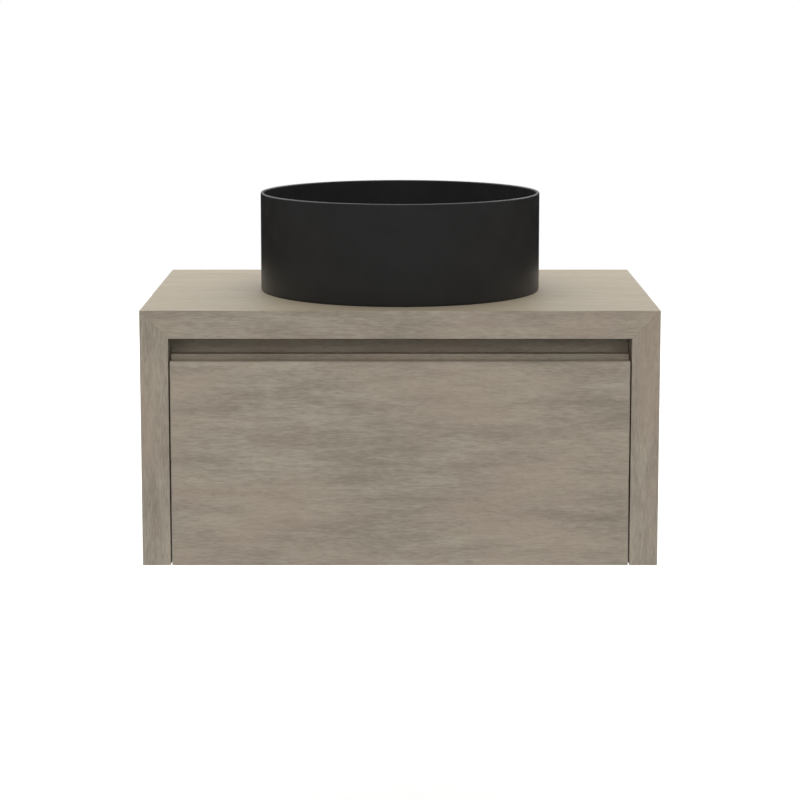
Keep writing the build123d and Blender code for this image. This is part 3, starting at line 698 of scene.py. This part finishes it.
def ball_cage_tree():
    """Sets a ball at each loose point of a cage's mesh and keeps the strips between them."""
    tree, given, end = shape_tree(
        "Ball Cage", {"Cage": "Geometry", "Ball Radius": "Float", "Finish": "Material"}
    )
    mark = add(
        tree, "GeometryNodeInputNamedAttribute", {"Name": "ball"}, data_type="BOOLEAN"
    ).outputs["Attribute"]
    split = add(
        tree, "GeometryNodeSeparateGeometry", {"Geometry": given["Cage"], "Selection": mark}, domain="POINT"
    )
    ball = add(tree, "GeometryNodeMeshIcoSphere", {"Radius": given["Ball Radius"], "Subdivisions": 3})
    round_ball = add(tree, "GeometryNodeSetShadeSmooth", {"Geometry": ball.outputs[0]})
    balls = add(
        tree, "GeometryNodeInstanceOnPoints", {"Points": split.outputs[0], "Instance": round_ball.outputs[0]}
    )
    both = add(tree, "GeometryNodeJoinGeometry", {"Geometry": balls.outputs[0]})
    tree.links.new(split.outputs[1], both.inputs[0])
    end(both.outputs[0])
    return tree


def shape_group(name, build):
    """The node tree of that name, built once."""
    return bpy.data.node_groups.get(name) or build()


def section_mesh(points, closed):
    """A section's edges from points of (distance, height[, corner radius]) in millimetres."""
    mesh = bpy.data.meshes.new("section")
    count = len(points)
    edges = [(i, (i + 1) % count) for i in range(count if closed else count - 1)]
    mesh.from_pydata([(p[0] * MM, p[1] * MM, 0) for p in points], edges, [])
    corners = mesh.attributes.new("corner", "FLOAT", "POINT")
    corners.data.foreach_set("value", [p[2] * MM if len(p) > 2 else 0.0 for p in points])
    return mesh


def turned(points, finish, closed=True, **given):
    """The mesh of a section turned about the basin's axis, or as other named inputs of the tree say."""
    values = {
        "Segments": 96,
        "Flutes": 0,
        "Flute Depth": 0.0,
        "Flute From": 1.0,
        "Crease": radians(32),
        "Tilt": (0, 0, 0),
        "Centre": (basin_axis.x, basin_axis.y, 0),
        "Finish": finish,
    }
    values.update({name.replace("_", " ").title(): value for name, value in given.items()})
    return evaluated(section_mesh(points, closed), shape_group("Turned Piece", turned_tree), values)


def turned_piece(name, section, finish, slot, node, body="cabinet", **given):
    """A piece that stands for one CAD piece and is turned from a section."""
    hand_over(name, turned(section, finish, **given), finish, body, slot, node)


# ---- Pieces ----


class VANITY_OT_cabinet(bpy.types.Operator):
    """Builds the top, the side panels with their mitred edge bands, the recess board and the rear rails"""

    bl_idname = "vanity.cabinet"
    bl_label = "Cabinet Boards"

    def execute(self, context):
        boards = context.scene.vanity_boards
        low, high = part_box("top_panel")
        behind_band = low.y + boards.band

        def band_room(point):
            point.y = max(point.y, behind_band)

        outer, inner = high.x, high.x - (high.z - low.z)
        outlines = {
            "top_panel": [(-outer, high.z), (-inner, low.z), (inner, low.z), (outer, high.z)],
            "side_panel_left": [(-outer, 0), (-inner, 0), (-inner, low.z), (-outer, high.z)],
            "side_panel_right": [(inner, 0), (outer, 0), (outer, high.z), (inner, low.z)],
        }
        for node, outline in outlines.items():
            over = node == "top_panel"
            # The top takes the oak with painted light on it, a little lighter and warmer than the sides
            flat, banded = (oak_top_painted_lit(), oak_across()) if over else (oak_upright(), oak_upright())
            soft_board(f"{node}_board", node, boards.edge, flat, "cabinet", "oak_board", band_room)
            band = prism(outline, (low.y, behind_band), boards.edge)
            board(f"{node}_band", band, banded, "cabinet", "oak_board")
        soft_board("recess_board", "recess_back_board", boards.edge, oak_across(), "cabinet", "oak_board")
        for node in ("back_rail_upper", "back_rail_lower"):
            soft_board(f"{node}_board", node, boards.edge, light_melamine(), "cabinet", "melamine_board")
        return {"FINISHED"}


class VANITY_OT_drawer(bpy.types.Operator):
    """Builds the drawer front with its four edge bands, the grip rail and the drawer box round the trap"""

    bl_idname = "vanity.drawer"
    bl_label = "Drawer"

    def execute(self, context):
        boards = context.scene.vanity_boards
        low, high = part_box("drawer_front")
        left, right = low.x + boards.band, high.x - boards.band
        under, over = low.z + boards.band, high.z - boards.band

        def band_room(point):
            point.x = min(max(point.x, left), right)
            point.z = min(max(point.z, under), over)

        soft_board("front_board", "drawer_front", boards.edge, oak_across(), "drawer", "oak_board", band_room)
        lying = [
            slab((low.x, low.y, low.z), (high.x, high.y, under), boards.front_edge),
            slab((low.x, low.y, over), (high.x, high.y, high.z), boards.front_edge),
        ]
        board("front_bands_lying", joined(lying), oak_across(), "drawer", "oak_board")
        upright = [
            slab((low.x, low.y, under), (left, high.y, over), boards.edge),
            slab((right, low.y, under), (high.x, high.y, over), boards.edge),
        ]
        board("front_bands_upright", joined(upright), oak_upright(), "drawer", "oak_board")
        soft_board("grip_rail_board", "grip_rail", boards.edge, oak_across(), "drawer", "oak_board")
        inner = ["drawer_subfront", "drawer_bottom", "trap_guard_front"]
        inner += [f"{part}_{side}" for part in ("drawer_side", "drawer_back", "trap_guard") for side in SIDES]
        for node in inner:
            soft_board(f"{node}_board", node, boards.edge, light_melamine(), "drawer", "melamine_board")
        return {"FINISHED"}


class VANITY_OT_dowels(bpy.types.Operator):
    """Rounds the ends of the beech dowels in the mitres, the rails and the drawer box"""

    bl_idname = "vanity.dowels"
    bl_label = "Dowels"

    def execute(self, context):
        rounding = 0.6 * MM
        for node, body in (
            ("mitre_dowels", "cabinet"), ("rail_dowels", "cabinet"), ("drawer_dowels", "drawer")
        ):
            soft_board(f"{node}_turned", node, rounding, beech(), body, "beech_dowel")
        return {"FINISHED"}


class VANITY_OT_basin(bpy.types.Operator):
    """Turns the basin with its foot ring, sloping floor and drain seat, and the sealant bead under it"""

    bl_idname = "vanity.basin"
    bl_label = "Basin"

    def execute(self, context):
        basin = context.scene.vanity_basin
        base, rim = height_of("vessel_basin")
        outer = radius_of("vessel_basin")
        flange_room, seal_overhang, boss_width = 1, 9.5, 17.5
        flange = radius_of("waste_body") + flange_room
        drain = radius_of("waste_seal_upper") - seal_overhang
        boss = drain + boss_width
        inner, foot = outer - basin.wall / MM, outer - basin.foot / MM
        rounding = basin.base_rounding / MM

        def up(size):
            return base + size / MM

        section = [
            (drain, base),
            (boss, base, 1),
            (boss, up(basin.hollow), 3),
            (foot, up(basin.hollow), 5),
            (foot, base, 2),
            (outer, base, rounding),
            (outer, rim, basin.rim_rounding / MM),
            (inner, rim, basin.rim_rounding / MM),
            (inner, up(basin.floor_edge), basin.floor_corner / MM),
            (flange, up(basin.floor_drain), 0.8),
            (flange, up(basin.seat), 0.4),
            (drain, up(basin.seat), 0.8),
        ]
        turned_piece(
            "basin_bowl", section, black_glaze(), "black_glaze", "vessel_basin", segments=basin.segments
        )

        # The bead fills the corner under the basin's rounding and follows its arc with a hair of room
        bead_out = radius_of("silicone_bead")
        steps, lip, room, side = 5, 0.15, 0.01, 0.5
        start = outer - rounding
        bead_in = start + rounding / 2
        arc = []
        for i in range(steps + 1):
            at = bead_in + (bead_out - lip - bead_in) * i / steps
            arc.append((at, base + rounding - sqrt(rounding**2 - (at - start) ** 2) - room))
        bead = [(bead_in, base), (bead_out, base, 0.1), (bead_out, base + side)] + arc[::-1]
        sealant = black_silicone()
        turned_piece(
            "basin_sealant", bead, sealant, "black_silicone", "silicone_bead", segments=basin.segments
        )
        return {"FINISHED"}


class VANITY_OT_waste(bpy.types.Operator):
    """Turns the pop-up waste: flange and tail, click cartridge, domed cap, seals and the nut under the top"""

    bl_idname = "vanity.waste"
    bl_label = "Basin Waste"

    def execute(self, context):
        segments = context.scene.vanity_fittings.segments
        metal = black_metal()
        flange = radius_of("waste_body")
        tail_end, flange_top = height_of("waste_body")
        flange_height, bore_step = 3, 16.5
        flange_base = flange_top - flange_height
        tail, bore = flange - TAIL_STEP, flange - bore_step
        # Fine rings stand for the tail's thread, which the nut hides where it bears
        pitch, turns, depth = 1.8, 11, 0.7
        root = tail - depth
        thread = []
        for i in range(turns):
            low = tail_end + 1 + i * pitch
            thread += [(root, low), (tail, low + 0.45 * pitch), (tail, low + 0.6 * pitch)]
        thread_end = tail_end + 2 + turns * pitch
        body = [
            (bore, tail_end, 0.4), (root, tail_end, 0.3), *thread, (root, thread_end), (tail, thread_end + 1)
        ]
        body += [(tail, flange_base, 1), (flange, flange_base, 0.3), (flange, flange_top, 1.2)]
        body += [(bore + 5, flange_top, 2), (bore, flange_top - 4, 2)]
        turned_piece("waste_sleeve", body, metal, "black_metal", "waste_body", segments=segments)

        # A spider with three spokes holds the cartridge in the middle of the bore
        hub_bore, hub, drop, height = 4.1, 7, 36.5, 6
        low, high = flange_top - drop, flange_top - drop + height
        hub_section = [(hub_bore, low, 0.4), (hub, low, 0.6), (hub, high, 0.6), (hub_bore, high, 0.4)]
        spider = [turned(hub_section, metal, segments=48)]
        spoke_in, spoke_out, half_width, rounding = 5.5 * MM, (bore + 0.6) * MM, 1.5 * MM, 0.5 * MM
        for i in range(3):
            spoke = slab((spoke_in, -half_width, low * MM), (spoke_out, half_width, high * MM), rounding)
            turn = Matrix.Rotation(2 * pi * i / 3, 4, "Z")
            spoke.transform(Matrix.Translation((basin_axis.x, basin_axis.y, 0)) @ turn)
            spider.append(spoke)
        board("waste_spider", joined(spider), metal, "cabinet", "black_metal")
        soft_board("waste_backnut", "waste_nut", 0.7 * MM, metal, "cabinet", "black_metal", segments=3)

        for name, node, width in (
            ("flange_seal", "waste_seal_upper", 8.5), ("top_seal", "waste_seal_lower", 10.95)
        ):
            (low, high), out = height_of(node), radius_of(node)
            ring = [(out - width, low), (out, low, 0.6), (out, high, 0.6), (out - width, high)]
            turned_piece(name, ring, rubber(), "rubber_seal", node, segments=segments)
        self.cartridge()
        self.cap(metal)
        return {"FINISHED"}

    def cartridge(self):
        """The click cartridge: a stud, a grooved barrel and the bore that the cap's stem slides in."""
        low, high = height_of("waste_cartridge")
        stud, barrel, groove, bore = 4, 7, 6.3, 3.6
        shoulder, bore_end, groove_low, groove_high = low + 12, low + 14, low + 24.6, low + 26
        section = [(0, low + 0.5), (stud - 0.8, low, 0.3), (stud, low + 0.8), (stud, shoulder)]
        section += [(barrel, shoulder, 0.5), (barrel, groove_low - 0.6, 0.4), (groove, groove_low, 0.3)]
        section += [(groove, groove_high, 0.3), (barrel, groove_high + 0.6, 0.4), (barrel, high, 0.6)]
        section += [(bore, high, 0.5), (bore, bore_end), (0, bore_end)]
        finish = {"closed": False, "segments": 48}
        turned_piece("click_cartridge", section, brass(), "brass_cartridge", "waste_cartridge", **finish)

    def cap(self, metal):
        """The push cap with its domed top, its collar and stem, and the seal in its edge."""
        low, high = height_of("waste_cap")
        edge = radius_of("waste_cap")
        height, rise, stem, collar, collar_height, steps = 5.5, 3.0, 3.5, 8, 3, 8
        base = high - height
        collar_base = base - collar_height
        bend = (edge**2 + rise**2) / (2 * rise)
        dome = []
        for i in range(steps + 1):
            at = edge * i / steps
            dome.append((at, high - (bend - sqrt(bend**2 - at**2))))
        section = [
            (0, low),
            (stem - 0.6, low, 0.3),
            (stem, low + 0.9),
            (stem, collar_base),
            (collar, collar_base, 0.6),
        ]
        section += [
            (collar, base, 1), (edge - 1.5, base, 0.5), (edge, base + 0.8, 0.4), (edge, dome[-1][1], 0.9)
        ]
        section += dome[-2::-1]
        round_about = {"body": "waste_cap", "segments": 128}
        turned_piece("push_cap", section, metal, "black_metal", "waste_cap", closed=False, **round_about)
        (low, high), out, width = height_of("waste_cap_ring"), radius_of("waste_cap_ring"), 3
        ring = [(out - width, low, 0.6), (out, low, 0.6), (out, high), (out - width, high)]
        turned_piece("cap_seal", ring, rubber(), "rubber_seal", "waste_cap_ring", **round_about)


class VANITY_OT_trap(bpy.types.Operator):
    """Turns the bottle trap: fluted nuts, pipes, cup and seals, with the body and its outlet branch"""

    bl_idname = "vanity.trap"
    bl_label = "Bottle Trap"

    def execute(self, context):
        fittings = context.scene.vanity_fittings
        segments = fittings.segments
        plastic = white_plastic()
        pipe = radius_of("trap_outlet_pipe")
        bore = pipe - fittings.pipe_wall / MM
        outlet = {"tilt": (pi / 2, 0, 0), "centre": (basin_axis.x, 0, outlet_axis_z)}
        neck, branch, thread_play, pipe_play = 20, 19, 0.05, 0.3

        def moulded(name, section, node, **given):
            turned_piece(name, section, plastic, "white_plastic", node, **{"segments": segments, **given})

        def fluted_nut(name, node, lip_end, open_end, hole, **given):
            """A cap nut: a threaded hole at its open end, a narrow one through its lip, a rounded collar."""
            out, pipe_hole = radius_of(node), pipe + pipe_play
            lip, taper, shoulder, flute = 5, 3, 2.5, 1
            way = 1 if open_end > lip_end else -1
            section = [
                (pipe_hole, lip_end, 0.3),
                (out - taper, lip_end, 1.5),
                (out, lip_end + way * shoulder, 1.2),
                (out, open_end, 0.8),
                (hole, open_end, 0.5),
                (hole, lip_end + way * lip),
                (pipe_hole, lip_end + way * lip),
            ]
            given.update(segments=segments * 2, flutes=fittings.flutes, flute_depth=fittings.flute_depth)
            moulded(name, section[::way], node, flute_from=(out - flute) * MM, **given)

        low, high = height_of("trap_inlet_nut")
        fluted_nut(
            "inlet_nut", "trap_inlet_nut", low, high, radius_of("waste_body") - TAIL_STEP + thread_play
        )
        low, high = height_of("trap_neck_nut")
        fluted_nut("neck_nut", "trap_neck_nut", high, low, neck + thread_play)
        near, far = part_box("trap_outlet_nut")
        fluted_nut("outlet_nut", "trap_outlet_nut", -far.y / MM, -near.y / MM, branch + thread_play, **outlet)

        (low, high), collar = height_of("trap_inlet_pipe"), radius_of("trap_inlet_pipe")
        collar_base = high - 4
        section = [(bore, low, 0.5), (pipe, low, 0.5), (pipe, collar_base, 0.6), (collar, collar_base, 0.5)]
        section += [(collar, high, 0.5), (bore, high, 0.5)]
        moulded("inlet_pipe", section, "trap_inlet_pipe")

        near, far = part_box("trap_outlet_pipe")
        start, end = -far.y / MM, -near.y / MM
        # A fine groove marks how far the pipe goes into the wall
        mark, groove = 30, 0.3
        section = [(bore, start, 0.4), (pipe, start, 0.6), (pipe, mark), (pipe - groove, mark + 0.2)]
        section += [(pipe - groove, mark + 0.8), (pipe, mark + 1), (pipe, end, 0.6), (bore, end, 0.6)]
        moulded("outlet_pipe", section, "trap_outlet_pipe", **outlet)

        (low, high), grip = height_of("trap_cup"), radius_of("trap_cup")
        wall, rib, grip_height, thread_depth = 2.5, 4, 18, 15.5
        side = grip - rib
        grip_base, thread_end = high - grip_height, high - thread_depth
        section = [(0, low), (side, low, 10), (side, grip_base, 1), (grip, grip_base, 1.5), (grip, high, 1.5)]
        section += [
            (side + thread_play, high, 0.4), (side + thread_play, thread_end), (side - wall, thread_end, 0.5)
        ]
        section += [(side - wall, low + wall, 7.5), (0, low + wall)]
        ribs = {"flutes": 24, "flute_depth": 1.1 * MM, "flute_from": (grip - 1) * MM}
        moulded("trap_bottle_cup", section, "trap_cup", closed=False, **{"segments": segments * 2, **ribs})

        soft_board("trap_bottle", "trap_body", 1.0 * MM, plastic, "cabinet", "white_plastic", segments=3)
        soft_board("trap_seal_rings", "trap_seals", 0.4 * MM, rubber(), "cabinet", "rubber_seal")
        return {"FINISHED"}


class VANITY_OT_runners(bpy.types.Operator):
    """Presses the three runner profiles of each side and fills their ball cages"""

    bl_idname = "vanity.runners"
    bl_label = "Drawer Runners"

    def execute(self, context):
        hardware = context.scene.vanity_hardware
        bodies = {"runner_cabinet": "cabinet", "runner_middle": None, "runner_drawer": "drawer"}
        for side in SIDES:
            for part, body in bodies.items():
                node = f"{part}_{side}"
                soft_board(
                    f"{node}_profile", node, hardware.steel_rounding, zinc(), body or node, "zinc_steel"
                )
            for row in ("outer", "inner"):
                node = f"ball_cage_{row}_{side}"
                balls = self.cage(node, hardware.ball)
                hand_over(f"{node}_balls", balls, bearing_steel(), node, "bearing_steel", node)
        return {"FINISHED"}

    def cage(self, node, ball):
        """Two strips with eight balls each, at the places of the frame's cage."""
        low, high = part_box(node)
        middle = (low + high) / 2
        count, half_thickness, edge = 8, 0.4 * MM, 0.25 * MM
        step = (high.y - low.y) / count
        strips, places = [], []
        for z in (low.z + ball, high.z - ball):
            strips.append(
                slab((low.x, low.y, z - half_thickness), (high.x, high.y, z + half_thickness), edge)
            )
            places += [(middle.x, low.y + step * (i + 0.5), z) for i in range(count)]
        mesh = joined(strips)
        solid_points = len(mesh.vertices)
        mesh.vertices.add(len(places))
        for i, place in enumerate(places):
            mesh.vertices[solid_points + i].co = place
        mark = mesh.attributes.new("ball", "BOOLEAN", "POINT")
        mark.data.foreach_set("value", [i >= solid_points for i in range(len(mesh.vertices))])
        values = {"Ball Radius": ball, "Finish": bearing_steel()}
        return evaluated(mesh, shape_group("Ball Cage", ball_cage_tree), values)


class VANITY_OT_hangers(bpy.types.Operator):
    """Moulds the cabinet hangers and presses the wall plates that they hook over"""

    bl_idname = "vanity.hangers"
    bl_label = "Hangers and Wall Plates"

    def execute(self, context):
        pressed = context.scene.vanity_hardware.steel_rounding
        moulded = 0.6 * MM
        for side in SIDES:
            hanger, plate = f"hanger_{side}", f"wall_plate_{side}"
            nylon = hanger_plastic()
            soft_board(f"{hanger}_block", hanger, moulded, nylon, "cabinet", "hanger_plastic", segments=3)
            soft_board(f"{plate}_steel", plate, pressed, zinc(), "cabinet", "zinc_steel")
        return {"FINISHED"}


class VANITY_OT_screws(bpy.types.Operator):
    """Sets cross recess screws at the frame's places: hangers, runners and drawer front"""

    bl_idname = "vanity.screws"
    bl_label = "Screws"

    def execute(self, context):
        hardware = context.scene.vanity_hardware
        small, front = hardware.screw_head, hardware.front_screw_head
        low_head, high_head = 1.4 * MM, 2 * MM
        sets = (
            ("hanger_screws", "cabinet", small, low_head, "X", -1),
            ("runner_screws_cabinet", "cabinet", small, low_head, "X", -1),
            ("runner_screws_drawer", "drawer", small, low_head, "X", 1),
            ("front_screws", "drawer", front, high_head, "Y", 1),
        )
        for seed, (node, body, radius, height, axis, out) in enumerate(sets):
            mesh = self.screws(node, radius, height, axis, out, seed, hardware.recess * radius / small)
            hand_over(f"{node}_crossed", mesh, zinc(), body, "zinc_steel", node)
        return {"FINISHED"}

    def screws(self, node, radius, height, axis, out, seed, recess):
        """One screw for each solid of the node, its head's underside on the face that it holds."""
        places, facing = [], []
        reach = 0
        for low, high in self.solids(node):
            middle = (low + high) / 2
            way = Vector((out * (1 if middle.x > 0 else -1), 0, 0)) if axis == "X" else Vector((0, out, 0))
            half = (high - low).dot(Vector([abs(part) for part in way])) / 2
            places.append(middle + way * (half - height))
            facing.append(way)
            reach = 2 * half - height
        points = bpy.data.meshes.new("places")
        points.from_pydata(places, [], [])
        ways = points.attributes.new("facing", "FLOAT_VECTOR", "POINT")
        ways.data.foreach_set("vector", [part for way in facing for part in way])
        template = bpy.data.objects.new("Screw", self.pattern(radius, height, reach))
        bpy.context.scene.collection.objects.link(template)
        values = {
            "Screw": template, "Head Height": height, "Recess Length": recess, "Seed": seed, "Finish": zinc()
        }
        mesh = evaluated(points, shape_group("Cross Recess Screws", screw_tree), values)
        bpy.data.objects.remove(template)
        return mesh

    def solids(self, node):
        """Corners of the box round each separate solid of a node."""
        shape = clean_copy(node)
        left = set(shape.verts)
        boxes = []
        while left:
            found = {left.pop()}
            to_visit = list(found)
            while to_visit:
                vertex = to_visit.pop()
                for edge in vertex.link_edges:
                    other = edge.other_vert(vertex)
                    if other not in found:
                        found.add(other)
                        to_visit.append(other)
            left -= found
            boxes.append(
                [Vector([pick(vertex.co[i] for vertex in found) for i in range(3)]) for pick in (min, max)]
            )
        shape.free()
        return sorted(boxes, key=lambda box: tuple(box[0]))

    def pattern(self, radius, height, reach):
        """A pan head screw turned about Z, its head above zero and its threaded shank below."""
        r, h, end = radius / MM, height / MM, -reach / MM
        shank, pitch, depth, plain = 1.75, 1.3, 0.5, 4
        section = [(0, end), (0.5, end + 0.6)]
        for i in range(int((-end - plain) / pitch)):
            low = end + 3 + i * pitch
            section += [(shank - depth, low), (shank, low + 0.45 * pitch), (shank - depth, low + 0.9 * pitch)]
        section += [(shank - 0.2, -0.6), (shank, 0), (r - 0.2, 0, 0.15), (r, 0.3, 0.2), (r, 0.45 * h, 0.5)]
        section += [(0.72 * r, 0.94 * h, 0.8), (0, h)]
        return turned(section, zinc(), closed=False, segments=20, centre=(0, 0, 0))


# Name, place, aim, width and height, watts, and whether glossy surfaces mirror the light: glaze would show it
LIGHTS = (
    ("Backdrop Light", (0, 4.4, 3.0), (0, 4.4, 0), (12, 8), 540, True),
    ("Front Light", (0, -4.4, 3.0), (0, -4.4, 0), (12, 8), 90, False),
    ("Overhead", (0, -0.6, 2.6), (0, -0.25, 0.35), (1.8, 0.7), 9, False),
    ("Low Front", (0, -4.2, 1.3), (0, -0.42, 0.3), (4.5, 1.0), 46, False),
)


class VANITY_OT_stage(bpy.types.Operator):
    """Sets the pale floor, the soft lights, the white surround and the camera"""

    bl_idname = "vanity.stage"
    bl_label = "Stage"

    def execute(self, context):
        stage = context.scene.vanity_stage
        self.floor(stage)
        self.surround(context.scene)
        for light in LIGHTS:
            self.soft_light(*light)
        camera = bpy.data.cameras.new("Camera")
        camera.lens = stage.camera_lens
        camera.shift_y = stage.camera_shift
        camera.sensor_width = 36
        holder = bpy.data.objects.new("Camera", camera)
        holder.location = (0, stage.camera_y, stage.camera_z)
        holder.rotation_euler = (pi / 2 - stage.camera_pitch, 0, 0)
        context.scene.collection.objects.link(holder)
        context.scene.camera = holder
        context.scene.view_settings.view_transform = "Standard"
        return {"FINISHED"}

    def floor(self, stage):
        """A plain pale floor below the cabinet."""
        half, z = 6, -stage.floor_drop
        mesh = bpy.data.meshes.new("Floor")
        mesh.from_pydata(
            [(-half, -half, z), (half, -half, z), (half, half, z), (-half, half, z)], [], [(0, 1, 2, 3)]
        )
        # Painted plaster: matt and pale with the faintest roller texture
        tones = stage.floor, shade(stage.floor, 0.96)
        mesh.materials.append(mottled("Plaster, Painted Pale", *tones, 6, (0.75, 0.85), 0.1, IOR=1.45))
        floor = bpy.data.objects.new("Floor", mesh)
        bpy.context.scene.collection.objects.link(floor)
        # The glaze would mirror a white floor as a bright rim, so reflections see the surround instead
        floor.visible_glossy = False

    def surround(self, scene):
        """A white surround that lights softly, brighter from the front than from the sides."""
        world = bpy.data.worlds.new("Surround")
        world.use_nodes = True
        scene.world = world
        tree = world.node_tree
        tree.nodes.clear()
        seen = add(tree, "ShaderNodeBackground", {"Color": (1, 1, 1, 1), "Strength": 1.0})
        way = add(tree, "ShaderNodeTexCoord").outputs["Generated"]
        parts = add(tree, "ShaderNodeSeparateXYZ", {0: way}).outputs
        level = spread(tree, parts["Z"], -0.1, 0.15, 0.2, 0.18)
        front = spread(tree, parts["Y"], -0.1, 0.6, 1, 0.06)
        above = spread(tree, parts["Z"], 0.25, 0.9, 0, 0.4)
        strength = add(
            tree, "ShaderNodeMath", {0: level, 1: front, 2: above}, operation="MULTIPLY_ADD"
        ).outputs[0]
        # Metal at the back mirrors what lies low behind it
        behind = spread(tree, parts["Y"], 0, 0.5)
        low = spread(tree, parts["Z"], -0.45, -0.15, 0.5, 0)
        strength = add(
            tree, "ShaderNodeMath", {0: behind, 1: low, 2: strength}, operation="MULTIPLY_ADD"
        ).outputs[0]
        lit = add(tree, "ShaderNodeBackground", {"Color": (1, 0.99, 0.975, 1), "Strength": strength})
        from_camera = add(tree, "ShaderNodeLightPath").outputs["Is Camera Ray"]
        both = add(tree, "ShaderNodeMixShader", {0: from_camera, 1: lit.outputs[0], 2: seen.outputs[0]})
        add(tree, "ShaderNodeOutputWorld", {"Surface": both.outputs[0]})

    def soft_light(self, name, place, aim, size, power, mirrored):
        """A soft box of that width and height, turned to its aim."""
        light = bpy.data.lights.new(name, "AREA")
        light.shape = "RECTANGLE"
        light.size, light.size_y = size
        light.energy = power
        holder = bpy.data.objects.new(name, light)
        holder.location = place
        holder.rotation_euler = (Vector(aim) - Vector(place)).to_track_quat("-Z", "Y").to_euler()
        holder.visible_glossy = mirrored
        bpy.context.scene.collection.objects.link(holder)


PIECES = (
    VANITY_OT_cabinet,
    VANITY_OT_drawer,
    VANITY_OT_dowels,
    VANITY_OT_basin,
    VANITY_OT_waste,
    VANITY_OT_trap,
    VANITY_OT_runners,
    VANITY_OT_hangers,
    VANITY_OT_screws,
    VANITY_OT_stage,
)


class VANITY_PT_panel(bpy.types.Panel):
    """Lists the vanity's pieces in the order that they are built"""

    bl_label = "Vessel Sink Vanity"
    bl_idname = "VANITY_PT_panel"
    bl_space_type = "VIEW_3D"
    bl_region_type = "UI"
    bl_category = "Vanity"

    def draw(self, context):
        for piece in PIECES:
            self.layout.operator(piece.bl_idname)


def register():
    """Registers the settings, the operators and the panel."""
    for name, group in SETTINGS.items():
        bpy.utils.register_class(group)
        setattr(bpy.types.Scene, name, bpy.props.PointerProperty(type=group))
    for piece in (*PIECES, VANITY_PT_panel):
        bpy.utils.register_class(piece)


def unregister():
    """Removes what register added."""
    for piece in (VANITY_PT_panel, *reversed(PIECES)):
        bpy.utils.unregister_class(piece)
    for name, group in reversed(SETTINGS.items()):
        delattr(bpy.types.Scene, name)
        bpy.utils.unregister_class(group)


def main():
    """Builds every piece in order."""
    register()
    for piece in PIECES:
        group, name = piece.bl_idname.split(".")
        getattr(getattr(bpy.ops, group), name)()


if __name__ == "__main__":
    main()
